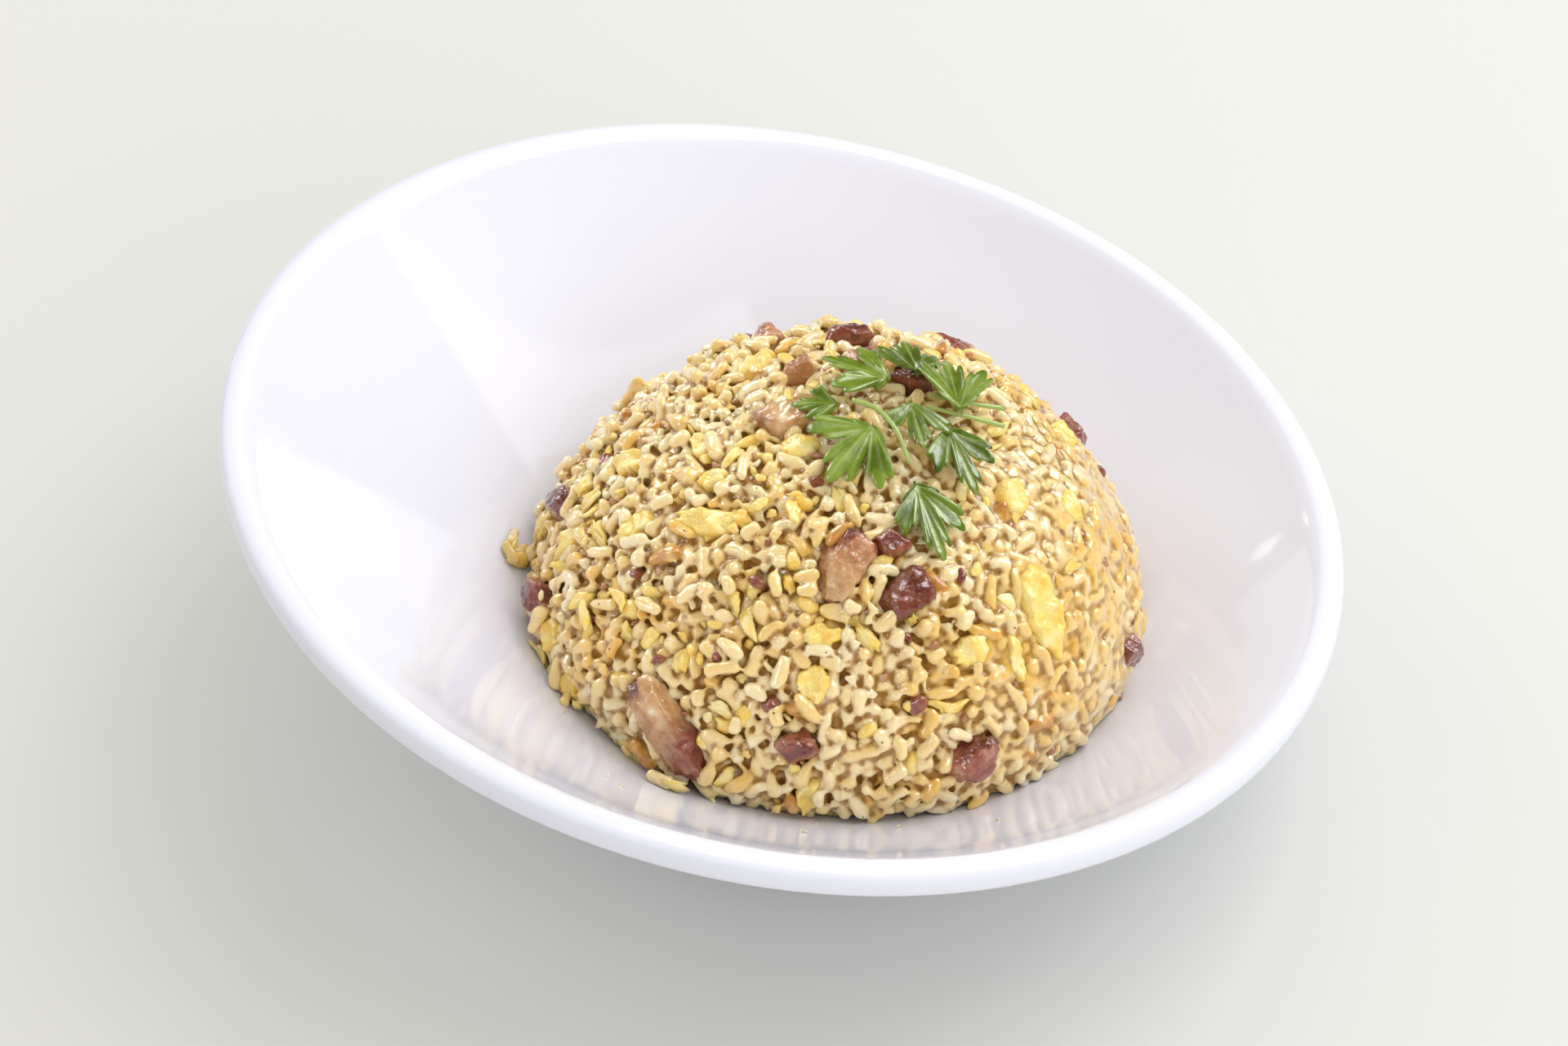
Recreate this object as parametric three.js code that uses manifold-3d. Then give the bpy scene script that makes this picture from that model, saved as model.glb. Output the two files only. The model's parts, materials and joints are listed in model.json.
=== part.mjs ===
// Fried rice in a slanted bowl: a moulded mound of rice with cured pork, scrambled egg and a sprig
// of coriander, in a round white bowl whose rim rises to one side. Millimetres, +Z up. The bowl
// stands on Z = 0, its rim's middle is over the origin, and its low side is towards +X.
import * as THREE from 'three';
import { ConvexGeometry } from 'three/addons/geometries/ConvexGeometry.js';
import { mergeVertices } from 'three/addons/utils/BufferGeometryUtils.js';
import Module from 'manifold-3d';

const wasm = await Module();
wasm.setup();

// ---------------------------------------------------------------- driving dimensions
const RIM_RADIUS = 125.6;        // middle of the lip; the bowl is 257 mm across outside
const RIM_TILT = 9.6 * Math.PI / 180;
const RIM_HEIGHT = 67.3;         // height of the rim's middle
const WALL = 5;                  // thickness of the bowl's wall
const FLOOR_TOP = 10;            // height of the flat floor inside the well
const FLOOR_LOW_X = 47;          // where the floor starts to rise towards the low side
const FLOOR_HIGH_X = -34;        // where it starts to rise towards the high side
const LOW_CURVE = 2.1;           // how late the wall steepens on the low side
const HIGH_CURVE = 1.4;          // and on the high side
const FOOT_OUTER = 46;           // radii of the foot ring
const FOOT_INNER = 41;
const FOOT_RECESS = 4.5;         // height of the underside inside the foot ring
const BOWL_SIDES = 48;

const MOUND_X = 10.8;            // the mound stands a little towards the low side
const MOUND_Z = 24.5;            // height of its widest level
const MOUND_RADIUS = 70;         // bare core, without the grains on it
const MOUND_HEIGHT = 59;         // from the widest level to the top
const MOUND_DEPTH = 70;          // how slowly it narrows below the widest level
const MOUND_POWER = 1.8;         // 2 is an ellipsoid, less is more pointed
const LATTICE_POINTS = 1800;     // points of the bumpy surface
const GRAIN_LENGTH = 7.6;
const GRAIN_WIDTH = 3;
const GRAIN_RISE = 2.1;          // how far the grains stand out of the bare core
const WHOLE_GRAINS = 14;         // grains that stick out of the surface whole

const GAP = 0.3;                 // clearance between neighbouring pieces
const STEEP_GAP = 0.45;          // the same, measured upwards over the sloping wall
const LEAF_THICKNESS = 0.5;
const STEM_RADIUS = 0.65;
const GOLDEN_ANGLE = Math.PI * (3 - Math.sqrt(5));
const DEGREE = Math.PI / 180;

// ---------------------------------------------------------------- helpers
function seededRandom(seed) {
  let state = seed;
  return () => {
    state = (state + 0x6d2b79f5) | 0;
    let mixed = Math.imul(state ^ (state >>> 15), 1 | state);
    mixed = (mixed + Math.imul(mixed ^ (mixed >>> 7), 61 | mixed)) ^ mixed;
    return ((mixed ^ (mixed >>> 14)) >>> 0) / 4294967296;
  };
}

// A closed geometry as a solid: shared corners merged, faces of no area dropped.
function solidOf(geometry) {
  const bare = geometry.clone();
  bare.deleteAttribute('normal');
  bare.deleteAttribute('uv');
  const merged = mergeVertices(bare, 1e-4);
  const index = merged.index.array;
  const kept = [];
  for (let i = 0; i < index.length; i += 3) {
    const [a, b, c] = [index[i], index[i + 1], index[i + 2]];
    if (a !== b && b !== c && c !== a) kept.push(a, b, c);
  }
  return new wasm.Manifold(new wasm.Mesh({
    numProp: 3,
    vertProperties: new Float32Array(merged.attributes.position.array),
    triVerts: new Uint32Array(kept),
  }));
}

function geometryOf(solid) {
  const mesh = solid.getMesh();
  const geometry = new THREE.BufferGeometry();
  geometry.setAttribute('position', new THREE.BufferAttribute(mesh.vertProperties, 3));
  geometry.setIndex(new THREE.BufferAttribute(mesh.triVerts, 1));
  geometry.computeVertexNormals();
  return geometry;
}

// The largest connected part: sealed hollows are filled and loose scraps dropped.
function wholePart(solid) {
  const parts = solid.decompose();
  return parts.reduce((best, part) => (part.volume() > best.volume() ? part : best));
}

// Moves every corner of a geometry by a function of its position.
function warp(geometry, place) {
  const position = geometry.attributes.position;
  const corner = new THREE.Vector3();
  for (let i = 0; i < position.count; i += 1) {
    corner.fromBufferAttribute(position, i);
    const moved = place(corner, i);
    position.setXYZ(i, moved.x, moved.y, moved.z);
  }
  return geometry;
}

// ---------------------------------------------------------------- bowl
const rimLow = new THREE.Vector2(
  RIM_RADIUS * Math.cos(RIM_TILT), RIM_HEIGHT - RIM_RADIUS * Math.sin(RIM_TILT));
const rimHigh = new THREE.Vector2(
  -RIM_RADIUS * Math.cos(RIM_TILT), RIM_HEIGHT + RIM_RADIUS * Math.sin(RIM_TILT));

// Section of the lip from the inner wall over its top to its underside: outward, up.
const LIP = [[-3.5, -0.7], [-2, 0.3], [0, 0.6], [1.9, 0.1], [3, -1.3], [3.1, -4.6], [1.5, -6.2]];

function lipLevel([outward, up]) {
  return {
    low: new THREE.Vector2(rimLow.x + outward, rimLow.y + up),
    high: new THREE.Vector2(rimHigh.x - outward, rimHigh.y + up),
  };
}

// A point of the inner wall's curve on one side, and the same moved out by the wall's thickness.
function wallPoint(floorX, end, curve, rise, offset) {
  const run = end.x - floorX;
  const climb = end.y - FLOOR_TOP;
  const slope = climb * curve * Math.max(rise, 1e-6) ** (curve - 1) / Math.abs(run);
  const outward = Math.sign(run) * offset * slope / Math.hypot(1, slope);
  const down = offset / Math.hypot(1, slope);
  return new THREE.Vector2(floorX + run * rise + outward, FLOOR_TOP + climb * rise ** curve - down);
}

function wallLevel(rise, offset = 0) {
  const end = lipLevel(LIP[0]);
  return {
    low: wallPoint(FLOOR_LOW_X, end.low, LOW_CURVE, rise, offset),
    high: wallPoint(FLOOR_HIGH_X, end.high, HIGH_CURVE, rise, offset),
  };
}

function flatLevel(radius, z) {
  const middle = (FLOOR_LOW_X + FLOOR_HIGH_X) / 2;
  return { low: new THREE.Vector2(middle + radius, z), high: new THREE.Vector2(middle - radius, z) };
}

// A turned form whose every level is a true circle, each tilted from its low to its high point.
function slantedLathe(levels) {
  const profile = levels.map(({ low, high }, i) => new THREE.Vector2(low.distanceTo(high) / 2, i));
  const turned = new THREE.LatheGeometry(profile, BOWL_SIDES);
  return warp(turned, (corner, i) => {
    const { low, high } = levels[i % levels.length];
    const radius = Math.max(low.distanceTo(high) / 2, 1e-9);
    const along = corner.x / radius;
    return new THREE.Vector3(
      (low.x + high.x) / 2 + along * (low.x - high.x) / 2,
      -corner.z,
      (low.y + high.y) / 2 + along * (low.y - high.y) / 2);
  });
}

const INNER_LEVELS = [0, 0.1, 0.2, 0.3, 0.42, 0.54, 0.66, 0.78, 0.9];
const OUTER_LEVELS = [0.08, 0.2, 0.34, 0.48, 0.62, 0.76, 0.92];

function bowl() {
  return slantedLathe([
    flatLevel(0, FOOT_RECESS),
    flatLevel(FOOT_INNER - 1, FOOT_RECESS),
    flatLevel(FOOT_INNER, 0),
    flatLevel(FOOT_OUTER, 0),
    ...OUTER_LEVELS.map((rise) => wallLevel(rise, WALL)),
    ...LIP.map(lipLevel).reverse(),
    ...INNER_LEVELS.map((rise) => wallLevel(rise)).reverse(),
    flatLevel(0, FLOOR_TOP),
  ]);
}

// The room inside the bowl, a little above its surface, which the food is cut to.
function bowlRoom() {
  const lifted = ({ low, high }) => ({
    low: new THREE.Vector2(low.x, low.y + STEEP_GAP),
    high: new THREE.Vector2(high.x, high.y + STEEP_GAP),
  });
  const top = 140;
  return slantedLathe([
    lifted(flatLevel(0, FLOOR_TOP)),
    ...INNER_LEVELS.map((rise) => lifted(wallLevel(rise))),
    lifted(lipLevel(LIP[0])),
    flatLevel(RIM_RADIUS, top),
    flatLevel(0, top),
  ]);
}

// Height of the bowl's inner surface at a place, by the level whose circle passes over it.
function bowlHeight(x, y) {
  let inside = 0;
  let outside = 1;
  let height = FLOOR_TOP;
  for (let step = 0; step < 30; step += 1) {
    const rise = (inside + outside) / 2;
    const { low, high } = wallLevel(rise);
    const along = (x - (low.x + high.x) / 2) / ((low.x - high.x) / 2);
    const across = y / (low.distanceTo(high) / 2);
    height = (low.y + high.y) / 2 + along * (low.y - high.y) / 2;
    if (Math.hypot(along, across) > 1) inside = rise;
    else outside = rise;
  }
  return height;
}

// ---------------------------------------------------------------- mound
const moundCentre = new THREE.Vector3(MOUND_X, 0, MOUND_Z);

function direction(bearing, climb) {
  return new THREE.Vector3(
    Math.cos(climb) * Math.cos(bearing), Math.cos(climb) * Math.sin(bearing), Math.sin(climb));
}

// Distance from the mound's centre to the bare core's surface.
function moundReach(way) {
  const height = way.z < 0 ? MOUND_DEPTH : MOUND_HEIGHT;
  const level = (Math.hypot(way.x, way.y) / MOUND_RADIUS) ** MOUND_POWER;
  const upright = (Math.abs(way.z) / height) ** MOUND_POWER;
  return (level + upright) ** (-1 / MOUND_POWER);
}

function onMound(way, out = 0) {
  return moundCentre.clone().addScaledVector(way, moundReach(way) + out);
}

// A place on the mound as a frame: X runs round it, Y up it and Z straight out of it.
function moundFrame(bearingDegrees, climbDegrees, turnDegrees = 0) {
  const bearing = bearingDegrees * DEGREE;
  const climb = climbDegrees * DEGREE;
  const origin = onMound(direction(bearing, climb));
  const round = onMound(direction(bearing + 0.01, climb)).sub(origin).normalize();
  const upward = onMound(direction(bearing, climb + 0.01)).sub(origin).normalize();
  const out = round.clone().cross(upward).normalize();
  const frame = new THREE.Matrix4().makeBasis(round, out.clone().cross(round), out);
  frame.multiply(new THREE.Matrix4().makeRotationZ(turnDegrees * DEGREE));
  return frame.setPosition(origin);
}

// A slightly larger smooth core, which the toppings are carved to.
function carvingCore(grown) {
  const sphere = new THREE.SphereGeometry(1, 32, 20).rotateX(Math.PI / 2);
  return warp(sphere, (corner) => onMound(corner.clone().normalize(), grown));
}

// Toppings: name, bearing and climb on the mound, turn, length, width, how far it stands out.
const PORK = [
  ['pork_top_left', 115, 52, 10, 8.5, 7, 4.6],
  ['pork_top_back', 84, 62, 0, 10, 7.5, 4.6],
  ['pork_top', 72, 77, 15, 11, 9.5, 4.2],
  ['pork_top_middle', 128, 77, 35, 9.5, 7, 4],
  ['pork_under_leaf', 28, 72, 0, 8, 7, 3.6],
  ['pork_fat_top', -152, 76, 70, 11.5, 8.5, 3.8],
  ['pork_front', -90, 48, 58, 15, 10, 4.6],
  ['pork_crisp', -74, 51, 20, 8.5, 6, 4.2],
  ['pork_dark_front', -73, 41, 10, 12, 10, 5],
  ['pork_left', 176, 20, 60, 11, 9, 5],
  ['pork_left_low', -169, 9, 30, 9, 8, 5],
  ['pork_base_large', -123, 10, -38, 25, 10.5, 5.2],
  ['pork_base_dark', -98, 13, 30, 10, 7.5, 4.2],
  ['pork_base_right', -66, 7, 40, 13, 9, 5],
  ['pork_right', -20, 3, 70, 9, 7, 4],
  ['pork_back_1', 60, 30, 25, 12, 9, 4.6],
  ['pork_back_2', 112, 22, -20, 11, 9, 4.6],
  ['pork_back_3', 34, 14, 60, 10, 8, 4.4],
];

const EGG = [
  ['egg_top_left', 135, 64, 12, 12.5, 8, 4],
  ['egg_top_front', -121, 73, 30, 9, 6.5, 3.6],
  ['egg_left_folded', -178, 41, 40, 11, 7.5, 3.8],
  ['egg_left_upper', -167, 58, 10, 8.5, 5.5, 3.6],
  ['egg_left_middle', -148, 56, 40, 8, 6, 3.8],
  ['egg_strip_long', -137, 49, 22, 17, 5.5, 3.6],
  ['egg_left_patch', -155, 38, 80, 9.5, 6.5, 3.6],
  ['egg_left_strip', -171, 22, 78, 12.5, 5, 3.4],
  ['egg_left_base', -160, 7, 10, 11, 7.5, 4.2],
  ['egg_crust_base', -149, 3, 0, 9, 6.5, 3.6],
  ['egg_front', -96, 25, 40, 8.5, 7, 4],
  ['egg_front_base', -96, 3, 70, 9, 6, 4],
  ['egg_right_large', -41, 26, 75, 21, 10, 4],
  ['egg_right_lower', -62, 27, 25, 10, 7.5, 4],
  ['egg_right_thin', -52, 22, 82, 11, 3.8, 3.4],
  ['egg_right_smooth', -25, 47, 50, 8, 7.5, 4.2],
  ['egg_right_side', -11, 34, 20, 8, 6.5, 4],
  ['egg_middle_low', -94, 34, 5, 9.5, 5.5, 3.6],
  ['egg_back_1', 86, 43, 20, 12, 8, 3.8],
  ['egg_back_2', 142, 34, 60, 11, 7, 3.8],
  ['egg_back_3', 18, 32, -30, 12, 7, 3.8],
  ['egg_back_4', 72, 14, 15, 11, 7, 3.6],
];

// A lump: a ball pushed towards a box by the power, with shallow dents from seeded waves.
function lump(ball, power, dent, draw) {
  const waves = Array.from({ length: 4 }, () => ({
    way: new THREE.Vector3(draw() - 0.5, draw() - 0.5, draw() - 0.5).multiplyScalar(7),
    phase: draw() * 2 * Math.PI,
  }));
  return warp(ball, (corner) => {
    const unit = corner.clone().normalize();
    const sum = Math.abs(unit.x) ** power + Math.abs(unit.y) ** power + Math.abs(unit.z) ** power;
    const dents = waves.reduce((total, { way, phase }) => total + Math.sin(unit.dot(way) + phase), 0);
    return unit.multiplyScalar(sum ** (-1 / power) * (1 + dent * dents / waves.length));
  });
}

const carver = solidOf(carvingCore(0.9));
const pocketFloor = solidOf(carvingCore(0.6));
const room = solidOf(bowlRoom());
const placed = [];

// A topping laid on the core, clear of the bowl and of the toppings laid before it.
function topping([, bearing, climb, turn, length, width, height], shape) {
  const frame = moundFrame(bearing, climb, turn);
  const thickness = height + 3;
  const middle = height - thickness / 2;
  const sized = (grow) => {
    const scaled = shape.clone().scale(
      length / 2 + grow, width / 2 + grow, thickness / 2 + grow);
    return solidOf(scaled.translate(0, 0, middle).applyMatrix4(frame));
  };
  let solid = sized(0).subtract(carver).intersect(room);
  placed.forEach((other) => {
    solid = solid.subtract(other);
  });
  placed.push(sized(GAP).subtract(pocketFloor));
  return geometryOf(wholePart(solid));
}

// Small bits fused to the rice: bearing, climb, size.
const SMALL_EGG = [
  [96, 73, 4], [152, 84, 5], [-76, 82, 5], [-165, 30, 5], [170, 11, 6], [-141, 26, 6], [-139, 31, 5],
  [-137, 13, 5], [-116, 10, 4], [-109, 17, 5.5], [-111, 4, 5], [-85, 16, 5.5], [-77, 9, 6],
  [-82, 3, 5], [31, 53, 5], [35, 34, 5.5], [-99, 40, 5.5], [-107, 61, 5], [50, 45, 5], [128, 12, 6],
];
const SMALL_PORK = [
  [-104, 20, 4.5], [174, 33, 5.5], [-75, 20, 5], [-57, 41, 3.6], [-130, 21, 3.8], [-145, 32, 3.4],
  [-75, 33, 3], [-103, 66, 3.4], [-113, 42, 3.6], [-117, 26, 4], [95, 30, 4.5], [15, 20, 4],
];

// What lies on the mound, as ovals: the inverse of each one's frame, and its half sizes.
function footprint(bearing, climb, turn, length, width) {
  return { inverse: moundFrame(bearing, climb, turn).invert(), a: length / 2, b: width / 2 };
}

const toppingPrints = [...PORK, ...EGG].map(([, bearing, climb, turn, length, width]) => (
  footprint(bearing, climb, turn, length, width)));
const bitPrints = [...SMALL_EGG, ...SMALL_PORK].map(([bearing, climb, size]) => (
  footprint(bearing, climb, 0, size, size)));

// How far a place on the mound is from the nearest oval's edge, about.
function clearance(point, prints) {
  const local = new THREE.Vector3();
  const distances = prints.map(({ inverse, a, b }) => {
    local.copy(point).applyMatrix4(inverse);
    const ratio = Math.max(Math.hypot(local.x / a, local.y / b), 1e-6);
    const flat = Math.hypot(local.x, local.y);
    return Math.max(flat - flat / ratio, Math.abs(local.z) - a - b);
  });
  return Math.min(...distances);
}

// The side towards +X is pressed smooth, and the other sides are loose.
function looseness(way) {
  const pressed = THREE.MathUtils.smoothstep(way.x, 0.35, 0.85);
  return 1 - 0.6 * pressed;
}

// The core: a closed surface through a golden-angle lattice of points. Every third point is the
// back of a grain, the ones between are the gaps, and under the toppings it stays bare.
function riceCore(draw, grainPrints) {
  const lowest = -0.25;
  const bare = 4.2;
  const full = 7.5;
  const points = [];
  const raised = new Map();
  const key = (point) => `${point.x.toFixed(3)} ${point.y.toFixed(3)} ${point.z.toFixed(3)}`;
  for (let i = 0; i < LATTICE_POINTS; i += 1) {
    const sine = 1 + (lowest - 1) * (i + 0.5) / LATTICE_POINTS;
    const bearing = i * GOLDEN_ANGLE + 0.12 * (draw() - 0.5);
    const way = direction(bearing, Math.asin(sine));
    const point = onMound(way);
    const height = i % 3 === 0 ? GRAIN_RISE * (0.65 + 0.5 * draw()) : 0.9 * draw() ** 2;
    const wave = 0.4 + 0.4 * Math.sin(3 * bearing + 1) * Math.sin(7 * sine);
    const fromTopping = THREE.MathUtils.smoothstep(clearance(point, toppingPrints), bare, full);
    const fromBit = THREE.MathUtils.smoothstep(clearance(point, grainPrints), 0, bare);
    points.push(point);
    raised.set(key(point), onMound(way, (height * looseness(way) + wave) * fromTopping * fromBit));
  }
  const underside = 6;
  for (let side = 0; side < underside; side += 1) {
    const bearing = side * 2 * Math.PI / underside;
    points.push(new THREE.Vector3(MOUND_X + 40 * Math.cos(bearing), 40 * Math.sin(bearing), 0));
  }
  return warp(new ConvexGeometry(points), (corner) => raised.get(key(corner)) ?? corner.clone());
}

// A grain with few sides, its length along X.
function grain(stretch = 1) {
  const ball = new THREE.SphereGeometry(1, 5, 3).rotateZ(Math.PI / 2);
  return ball.scale(GRAIN_LENGTH / 2 * stretch, GRAIN_WIDTH / 2, GRAIN_WIDTH / 2);
}

// Whole grains lie on the core at every angle, on its loose side, clear of what else is on it.
function wholeGrains(draw) {
  const grains = [];
  for (let i = 0; grains.length < WHOLE_GRAINS && i < 20 * WHOLE_GRAINS; i += 1) {
    const climb = Math.asin(THREE.MathUtils.lerp(0.1, 0.95, (i * 0.618034) % 1)) / DEGREE;
    const bearing = i * GOLDEN_ANGLE / DEGREE;
    const way = direction(bearing * DEGREE, climb * DEGREE);
    const wanted = draw() < looseness(way) - 0.2;
    const turn = draw() * 180;
    const print = footprint(bearing, climb, turn, GRAIN_LENGTH, GRAIN_WIDTH);
    const others = [...toppingPrints, ...bitPrints, ...grains.map((one) => one.print)];
    if (wanted && clearance(onMound(way), others) > GRAIN_LENGTH / 2 + 1.2) {
      const laid = grain(0.9 + 0.2 * draw()).rotateY((draw() - 0.3) * 30 * DEGREE);
      const placing = moundFrame(bearing, climb, turn);
      const solid = solidOf(laid.translate(0, 0, GRAIN_WIDTH / 3).applyMatrix4(placing));
      grains.push({ print, solid });
    }
  }
  return grains;
}

function smallBits(draw) {
  return [...SMALL_EGG, ...SMALL_PORK].map(([bearing, climb, size]) => {
    const rock = new THREE.OctahedronGeometry(size / 2, 0).scale(1, 0.75, 0.7);
    const frame = moundFrame(bearing, climb, draw() * 180);
    return solidOf(rock.translate(0, 0, size / 5).applyMatrix4(frame));
  });
}

function riceMound() {
  const draw = seededRandom(20);
  const grains = wholeGrains(draw);
  let heap = solidOf(riceCore(draw, [...bitPrints, ...grains.map((one) => one.print)]));
  [...grains.map((one) => one.solid), ...smallBits(draw)].forEach((piece) => {
    heap = heap.add(piece);
  });
  heap = heap.intersect(room);
  placed.forEach((other) => {
    heap = heap.subtract(other);
  });
  return geometryOf(wholePart(heap));
}

// Grains that fell beside the mound, joined where they touch: x, y, turn, kind.
const FALLEN_LEFT = [
  [-67.4, 11.2, 70, 'grain'], [-66, 8.2, 20, 'grain'], [-67.8, 6, -50, 'grain'], [-65.4, 5.4, 80, 'egg'],
];
const FALLEN_FRONT = [[-29.5, -67, -15, 'grain'], [-26, -69, 10, 'egg']];

function fallen(pieces) {
  const lift = 1.75;
  const solids = pieces.map(([x, y, turn, kind]) => {
    const shape = kind === 'egg' ? new THREE.IcosahedronGeometry(2.6, 0).scale(1, 0.7, 0.7) : grain();
    const lean = Math.atan2(bowlHeight(x - 1, y) - bowlHeight(x + 1, y), 2);
    shape.rotateZ(turn * DEGREE).rotateY(lean);
    return solidOf(shape.translate(x, y, bowlHeight(x, y) + lift));
  });
  const joined = solids.reduce((sum, piece) => sum.add(piece));
  return geometryOf(wholePart(joined.intersect(room)));
}

// ---------------------------------------------------------------- coriander
// Height of the bare core over a place near its top.
function moundTop(x, y) {
  const level = Math.min(Math.hypot(x - MOUND_X, y) / MOUND_RADIUS, 0.999);
  return MOUND_Z + MOUND_HEIGHT * (1 - level ** MOUND_POWER) ** (1 / MOUND_POWER);
}

// Leaves: name, x and y of the stalk's end, heading, length, spread, lift, fold, wave's phase.
const LEAVES = [
  ['leaf_upper_left', 21.3, 1, 160, 15.5, 0.8, 6.2, 0.1, 0.4],
  ['leaf_upper', 28.3, 5, 104, 10.5, 0.7, 6.8, 0.15, 2.1],
  ['leaf_left_dark', 9.8, -7.5, 176, 10, 0.5, 4.8, 0.35, 1.2],
  ['leaf_lower_left', 17.8, -13.5, 232, 16.5, 0.85, 5, 0.05, 3.4],
  ['leaf_middle', 26.3, -7.5, 282, 12, 0.6, 6.4, 0.2, 0.9],
  ['leaf_upright', 37.3, -4, 97, 18, 0.4, 6.6, 0.4, 5.2],
  ['leaf_lower_right', 34.8, -11, 293, 15, 0.65, 5.8, 0.12, 4.1],
  ['leaf_lowest', 27.3, -26, 292, 15.5, 0.6, 4, 0.15, 2.7],
];

// A toothed leaf: a thin disc whose rim is drawn out ahead of the stalk, laid over the mound.
function leaf([, x, y, heading, length, spread, lift, fold, phase]) {
  const sides = 16;
  const half = LEAF_THICKNESS / 2;
  const profile = [[0, -half], [0.55, -half], [1, -half], [1, half], [0.55, half], [0, half]];
  const disc = new THREE.LatheGeometry(profile.map(([r, z]) => new THREE.Vector2(r, z)), sides);
  return warp(disc, (corner) => {
    const angle = Math.atan2(corner.x, corner.z);
    const ring = Math.hypot(corner.x, corner.z);
    const tooth = Math.round(angle / (2 * Math.PI / sides)) % 2 === 0 ? 1 : 0.66;
    const ahead = Math.cos(angle / 2) ** 2;
    const reach = length * ring * (0.14 + 0.86 * ahead) * tooth;
    const forward = reach * Math.cos(angle);
    const side = reach * Math.sin(angle) * spread;
    const turn = heading * DEGREE;
    const px = x + forward * Math.cos(turn) - side * Math.sin(turn);
    const py = y + forward * Math.sin(turn) + side * Math.cos(turn);
    const wave = 0.7 * ring * Math.sin(3 * angle + phase) + fold * Math.abs(side);
    return new THREE.Vector3(px, py, moundTop(px, py) + lift + wave + corner.y);
  });
}

// Stalks: name, then places as x, y and height above the bare core.
const STEMS = [
  ['stem_right_upper', [47.8, 3.5, 5.6], [39.8, 1.5, 4.4], [30.8, 0.5, 4]],
  ['stem_right_lower', [47.8, -1.5, 4.4], [38.8, -2.5, 3.6], [30.3, -3.2, 3.6]],
  ['stem_lower_left', [13.3, -9, 7.8], [18.8, -11.6, 8.3], [23.1, -16.5, 7.8], [25.7, -22, 5.6]],
];

function stem([, ...places]) {
  const route = new THREE.CatmullRomCurve3(
    places.map(([x, y, lift]) => new THREE.Vector3(x, y, moundTop(x, y) + lift)));
  const sides = 5;
  const corners = Array.from({ length: sides }, (_, i) => new THREE.Vector2(STEM_RADIUS, 0)
    .rotateAround(new THREE.Vector2(), i * 2 * Math.PI / sides));
  const options = { steps: 6, bevelEnabled: false, extrudePath: route };
  return geometryOf(solidOf(new THREE.ExtrudeGeometry(new THREE.Shape(corners), options)));
}

// ---------------------------------------------------------------- the dish
const materials = {
  glaze: { color: 0xf1eef6, roughness: 0.14, metalness: 0 },
  rice: { color: 0xd9bd84, roughness: 0.5, metalness: 0 },
  pork: { color: 0x9a4a3a, roughness: 0.4, metalness: 0 },
  egg: { color: 0xe8cc4e, roughness: 0.5, metalness: 0 },
  herb: { color: 0x3f7a26, roughness: 0.45, metalness: 0 },
};

const dish = new THREE.Group();

function add(name, geometry, material) {
  const mesh = new THREE.Mesh(geometry, new THREE.MeshStandardMaterial(materials[material]));
  mesh.name = name;
  dish.add(mesh);
}

add('bowl', geometryOf(solidOf(bowl())), 'glaze');

const porkDraw = seededRandom(5);
PORK.forEach((entry) => {
  const cube = lump(new THREE.IcosahedronGeometry(1, 1), 4, 0.12, porkDraw);
  add(entry[0], topping(entry, cube), 'pork');
});

const eggDraw = seededRandom(11);
EGG.forEach((entry) => {
  const curd = lump(new THREE.SphereGeometry(1, 8, 5).rotateX(Math.PI / 2), 2.4, 0.3, eggDraw);
  add(entry[0], topping(entry, curd), 'egg');
});

add('rice', riceMound(), 'rice');
add('fallen_grains_left', fallen(FALLEN_LEFT), 'rice');
add('fallen_grain_front', fallen(FALLEN_FRONT), 'rice');
LEAVES.forEach((entry) => add(entry[0], geometryOf(solidOf(leaf(entry))), 'herb'));
STEMS.forEach((entry) => add(entry[0], stem(entry), 'herb'));

export default dish;
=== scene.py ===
"""Fried rice in a slanted bowl: the looks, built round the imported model.

Shapes are worked out in millimetres in the model's own frame, and written to meshes in metres.
"""
import json
import math

import bmesh
import bpy
import numpy as np
from mathutils import Matrix, Vector
from mathutils.kdtree import KDTree

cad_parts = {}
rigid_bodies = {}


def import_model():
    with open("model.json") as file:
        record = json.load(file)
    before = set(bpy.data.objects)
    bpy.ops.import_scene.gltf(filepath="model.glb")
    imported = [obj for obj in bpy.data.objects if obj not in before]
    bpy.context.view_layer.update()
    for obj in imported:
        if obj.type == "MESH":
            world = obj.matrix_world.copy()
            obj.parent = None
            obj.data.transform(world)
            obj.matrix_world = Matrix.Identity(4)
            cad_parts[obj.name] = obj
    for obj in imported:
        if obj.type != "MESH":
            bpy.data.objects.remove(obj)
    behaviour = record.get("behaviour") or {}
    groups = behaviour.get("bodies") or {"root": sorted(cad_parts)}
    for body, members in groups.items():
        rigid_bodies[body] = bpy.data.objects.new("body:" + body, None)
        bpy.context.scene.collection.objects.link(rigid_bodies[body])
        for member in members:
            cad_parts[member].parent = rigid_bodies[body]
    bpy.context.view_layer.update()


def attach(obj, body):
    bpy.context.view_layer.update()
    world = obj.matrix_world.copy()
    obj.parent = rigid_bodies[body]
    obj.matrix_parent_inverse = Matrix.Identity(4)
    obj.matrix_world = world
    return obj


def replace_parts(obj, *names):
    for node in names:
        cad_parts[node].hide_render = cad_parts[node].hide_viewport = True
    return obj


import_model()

MM = 0.001
TURN = 2 * math.pi
BODY = "root"

# ------ driving dimensions, in mm
RIM_RADIUS = 125.6
RIM_TILT = math.radians(9.6)
RIM_HEIGHT = 67.3
WALL = 5
FLOOR_TOP = 10
FLOOR_LOW_X = 47
FLOOR_HIGH_X = -34
LOW_CURVE = 2.1
HIGH_CURVE = 1.4
FOOT_OUTER = 46
FOOT_INNER = 41
FOOT_RECESS = 4.5
LIP = [(-3.5, -0.7), (-2, 0.3), (0, 0.6), (1.9, 0.1), (3, -1.3), (3.1, -4.6), (1.5, -6.2)]
BOWL_SIDES = 144

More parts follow.
